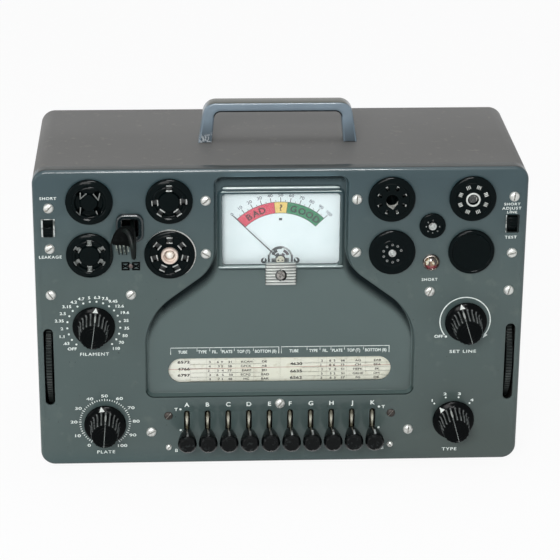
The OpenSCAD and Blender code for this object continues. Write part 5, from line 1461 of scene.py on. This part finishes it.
# %% What the camera sees behind the tester
def fresh_tree(holder):
    """An empty shader tree on a material or on the world."""
    holder.use_nodes = True
    holder.node_tree.nodes.clear()
    return holder.node_tree.nodes, holder.node_tree.links


def seen_rays(nodes, links):
    """1 for rays that end up as something seen: straight, in a shine or through glass."""
    path, total = nodes.new("ShaderNodeLightPath"), None
    for kind in ("Is Camera Ray", "Is Glossy Ray", "Is Transmission Ray"):
        added = nodes.new("ShaderNodeMath")
        added.operation, added.use_clamp = "ADD", True
        links.new(path.outputs[kind], added.inputs[0])
        if total:
            links.new(total, added.inputs[1])
        else:
            added.inputs[1].default_value = 0
        total = added.outputs[0]
    return total


def mixed(nodes, links, share, unseen, seen, output):
    """Sends one shader or the other to the tree's output."""
    mix, out = nodes.new("ShaderNodeMixShader"), nodes.new(output)
    for socket, source in zip(mix.inputs, (share, unseen.outputs[0], seen.outputs[0])):
        links.new(source, socket)
    links.new(mix.outputs[0], out.inputs["Surface"])


def backdrop_material(name, shade, kept):
    """A pale surface that the camera sees near white, and that still takes the shadow."""
    made = bpy.data.materials.new(name)
    nodes, links = fresh_tree(made)
    diffuse, white = nodes.new("ShaderNodeBsdfDiffuse"), nodes.new("ShaderNodeEmission")
    diffuse.inputs["Color"].default_value = shade
    white.inputs["Color"].default_value = (1, 1, 1, 1)
    white.inputs["Strength"].default_value = 1
    share = nodes.new("ShaderNodeMapRange")
    share.inputs["To Max"].default_value = kept
    links.new(seen_rays(nodes, links), share.inputs["Value"])
    mixed(nodes, links, share.outputs[0], diffuse, white, "ShaderNodeOutputMaterial")
    return made


# %% Bench
mesh = bmesh.new()
sweep = [(-1.6, 0)] + [(1.3 + 0.6 * math.sin(t), 0.6 * (1 - math.cos(t))) for t in fan(9, 11)] + [(1.9, 2.2)]
sheet(mesh, [[mesh.verts.new((x, y, z)) for x in (-2.4, 2.4)] for y, z in sweep])
data = mesh_data(mesh, "bench")
data.materials.append(backdrop_material("pale_bench", (0.93, 0.93, 0.93, 1), 0.93))
data.shade_smooth()
linked("bench", data)


# %% Lamps
def area_lamp(name, place, target, width, height, watts, tone=(1, 1, 1)):
    lamp = bpy.data.lights.new(name, "AREA")
    lamp.shape, lamp.size, lamp.size_y = "RECTANGLE", width, height
    lamp.energy, lamp.color = watts, tone
    made = linked(name, lamp)
    made.location = place
    made.rotation_euler = (Vector(target) - Vector(place)).to_track_quat("-Z", "Y").to_euler()
    return made


area_lamp("key", (-0.45, -2.0, 1.15), (0, 0, 0.12), 0.8, 0.6, 27, (1.0, 0.99, 0.97))
area_lamp("sky", (0.0, 0.1, 1.5), (0, 0.05, 0.2), 1.0, 0.7, 4, (0.96, 0.98, 1.0))
area_lamp("fill", (-1.7, -1.0, 0.7), (0, 0, 0.12), 0.9, 0.9, 5)
# A strip that only shines: it draws the bright lines along bent and moulded edges
shine = area_lamp("shine", (0.02, -1.2, 1.35), (0, 0, 0.2), 0.52, 0.3, 24)
shine.visible_diffuse = False

world = bpy.context.scene.world or bpy.data.worlds.new("world")
bpy.context.scene.world = world
nodes, links = fresh_tree(world)
seen, sky = nodes.new("ShaderNodeBackground"), nodes.new("ShaderNodeBackground")
seen.inputs["Color"].default_value, seen.inputs["Strength"].default_value = (1, 1, 1, 1), 1
sky.inputs["Color"].default_value, sky.inputs["Strength"].default_value = (0.9, 0.95, 1, 1), 0.35
mixed(nodes, links, seen_rays(nodes, links), sky, seen, "ShaderNodeOutputWorld")
bpy.context.scene.view_settings.view_transform = "Standard"
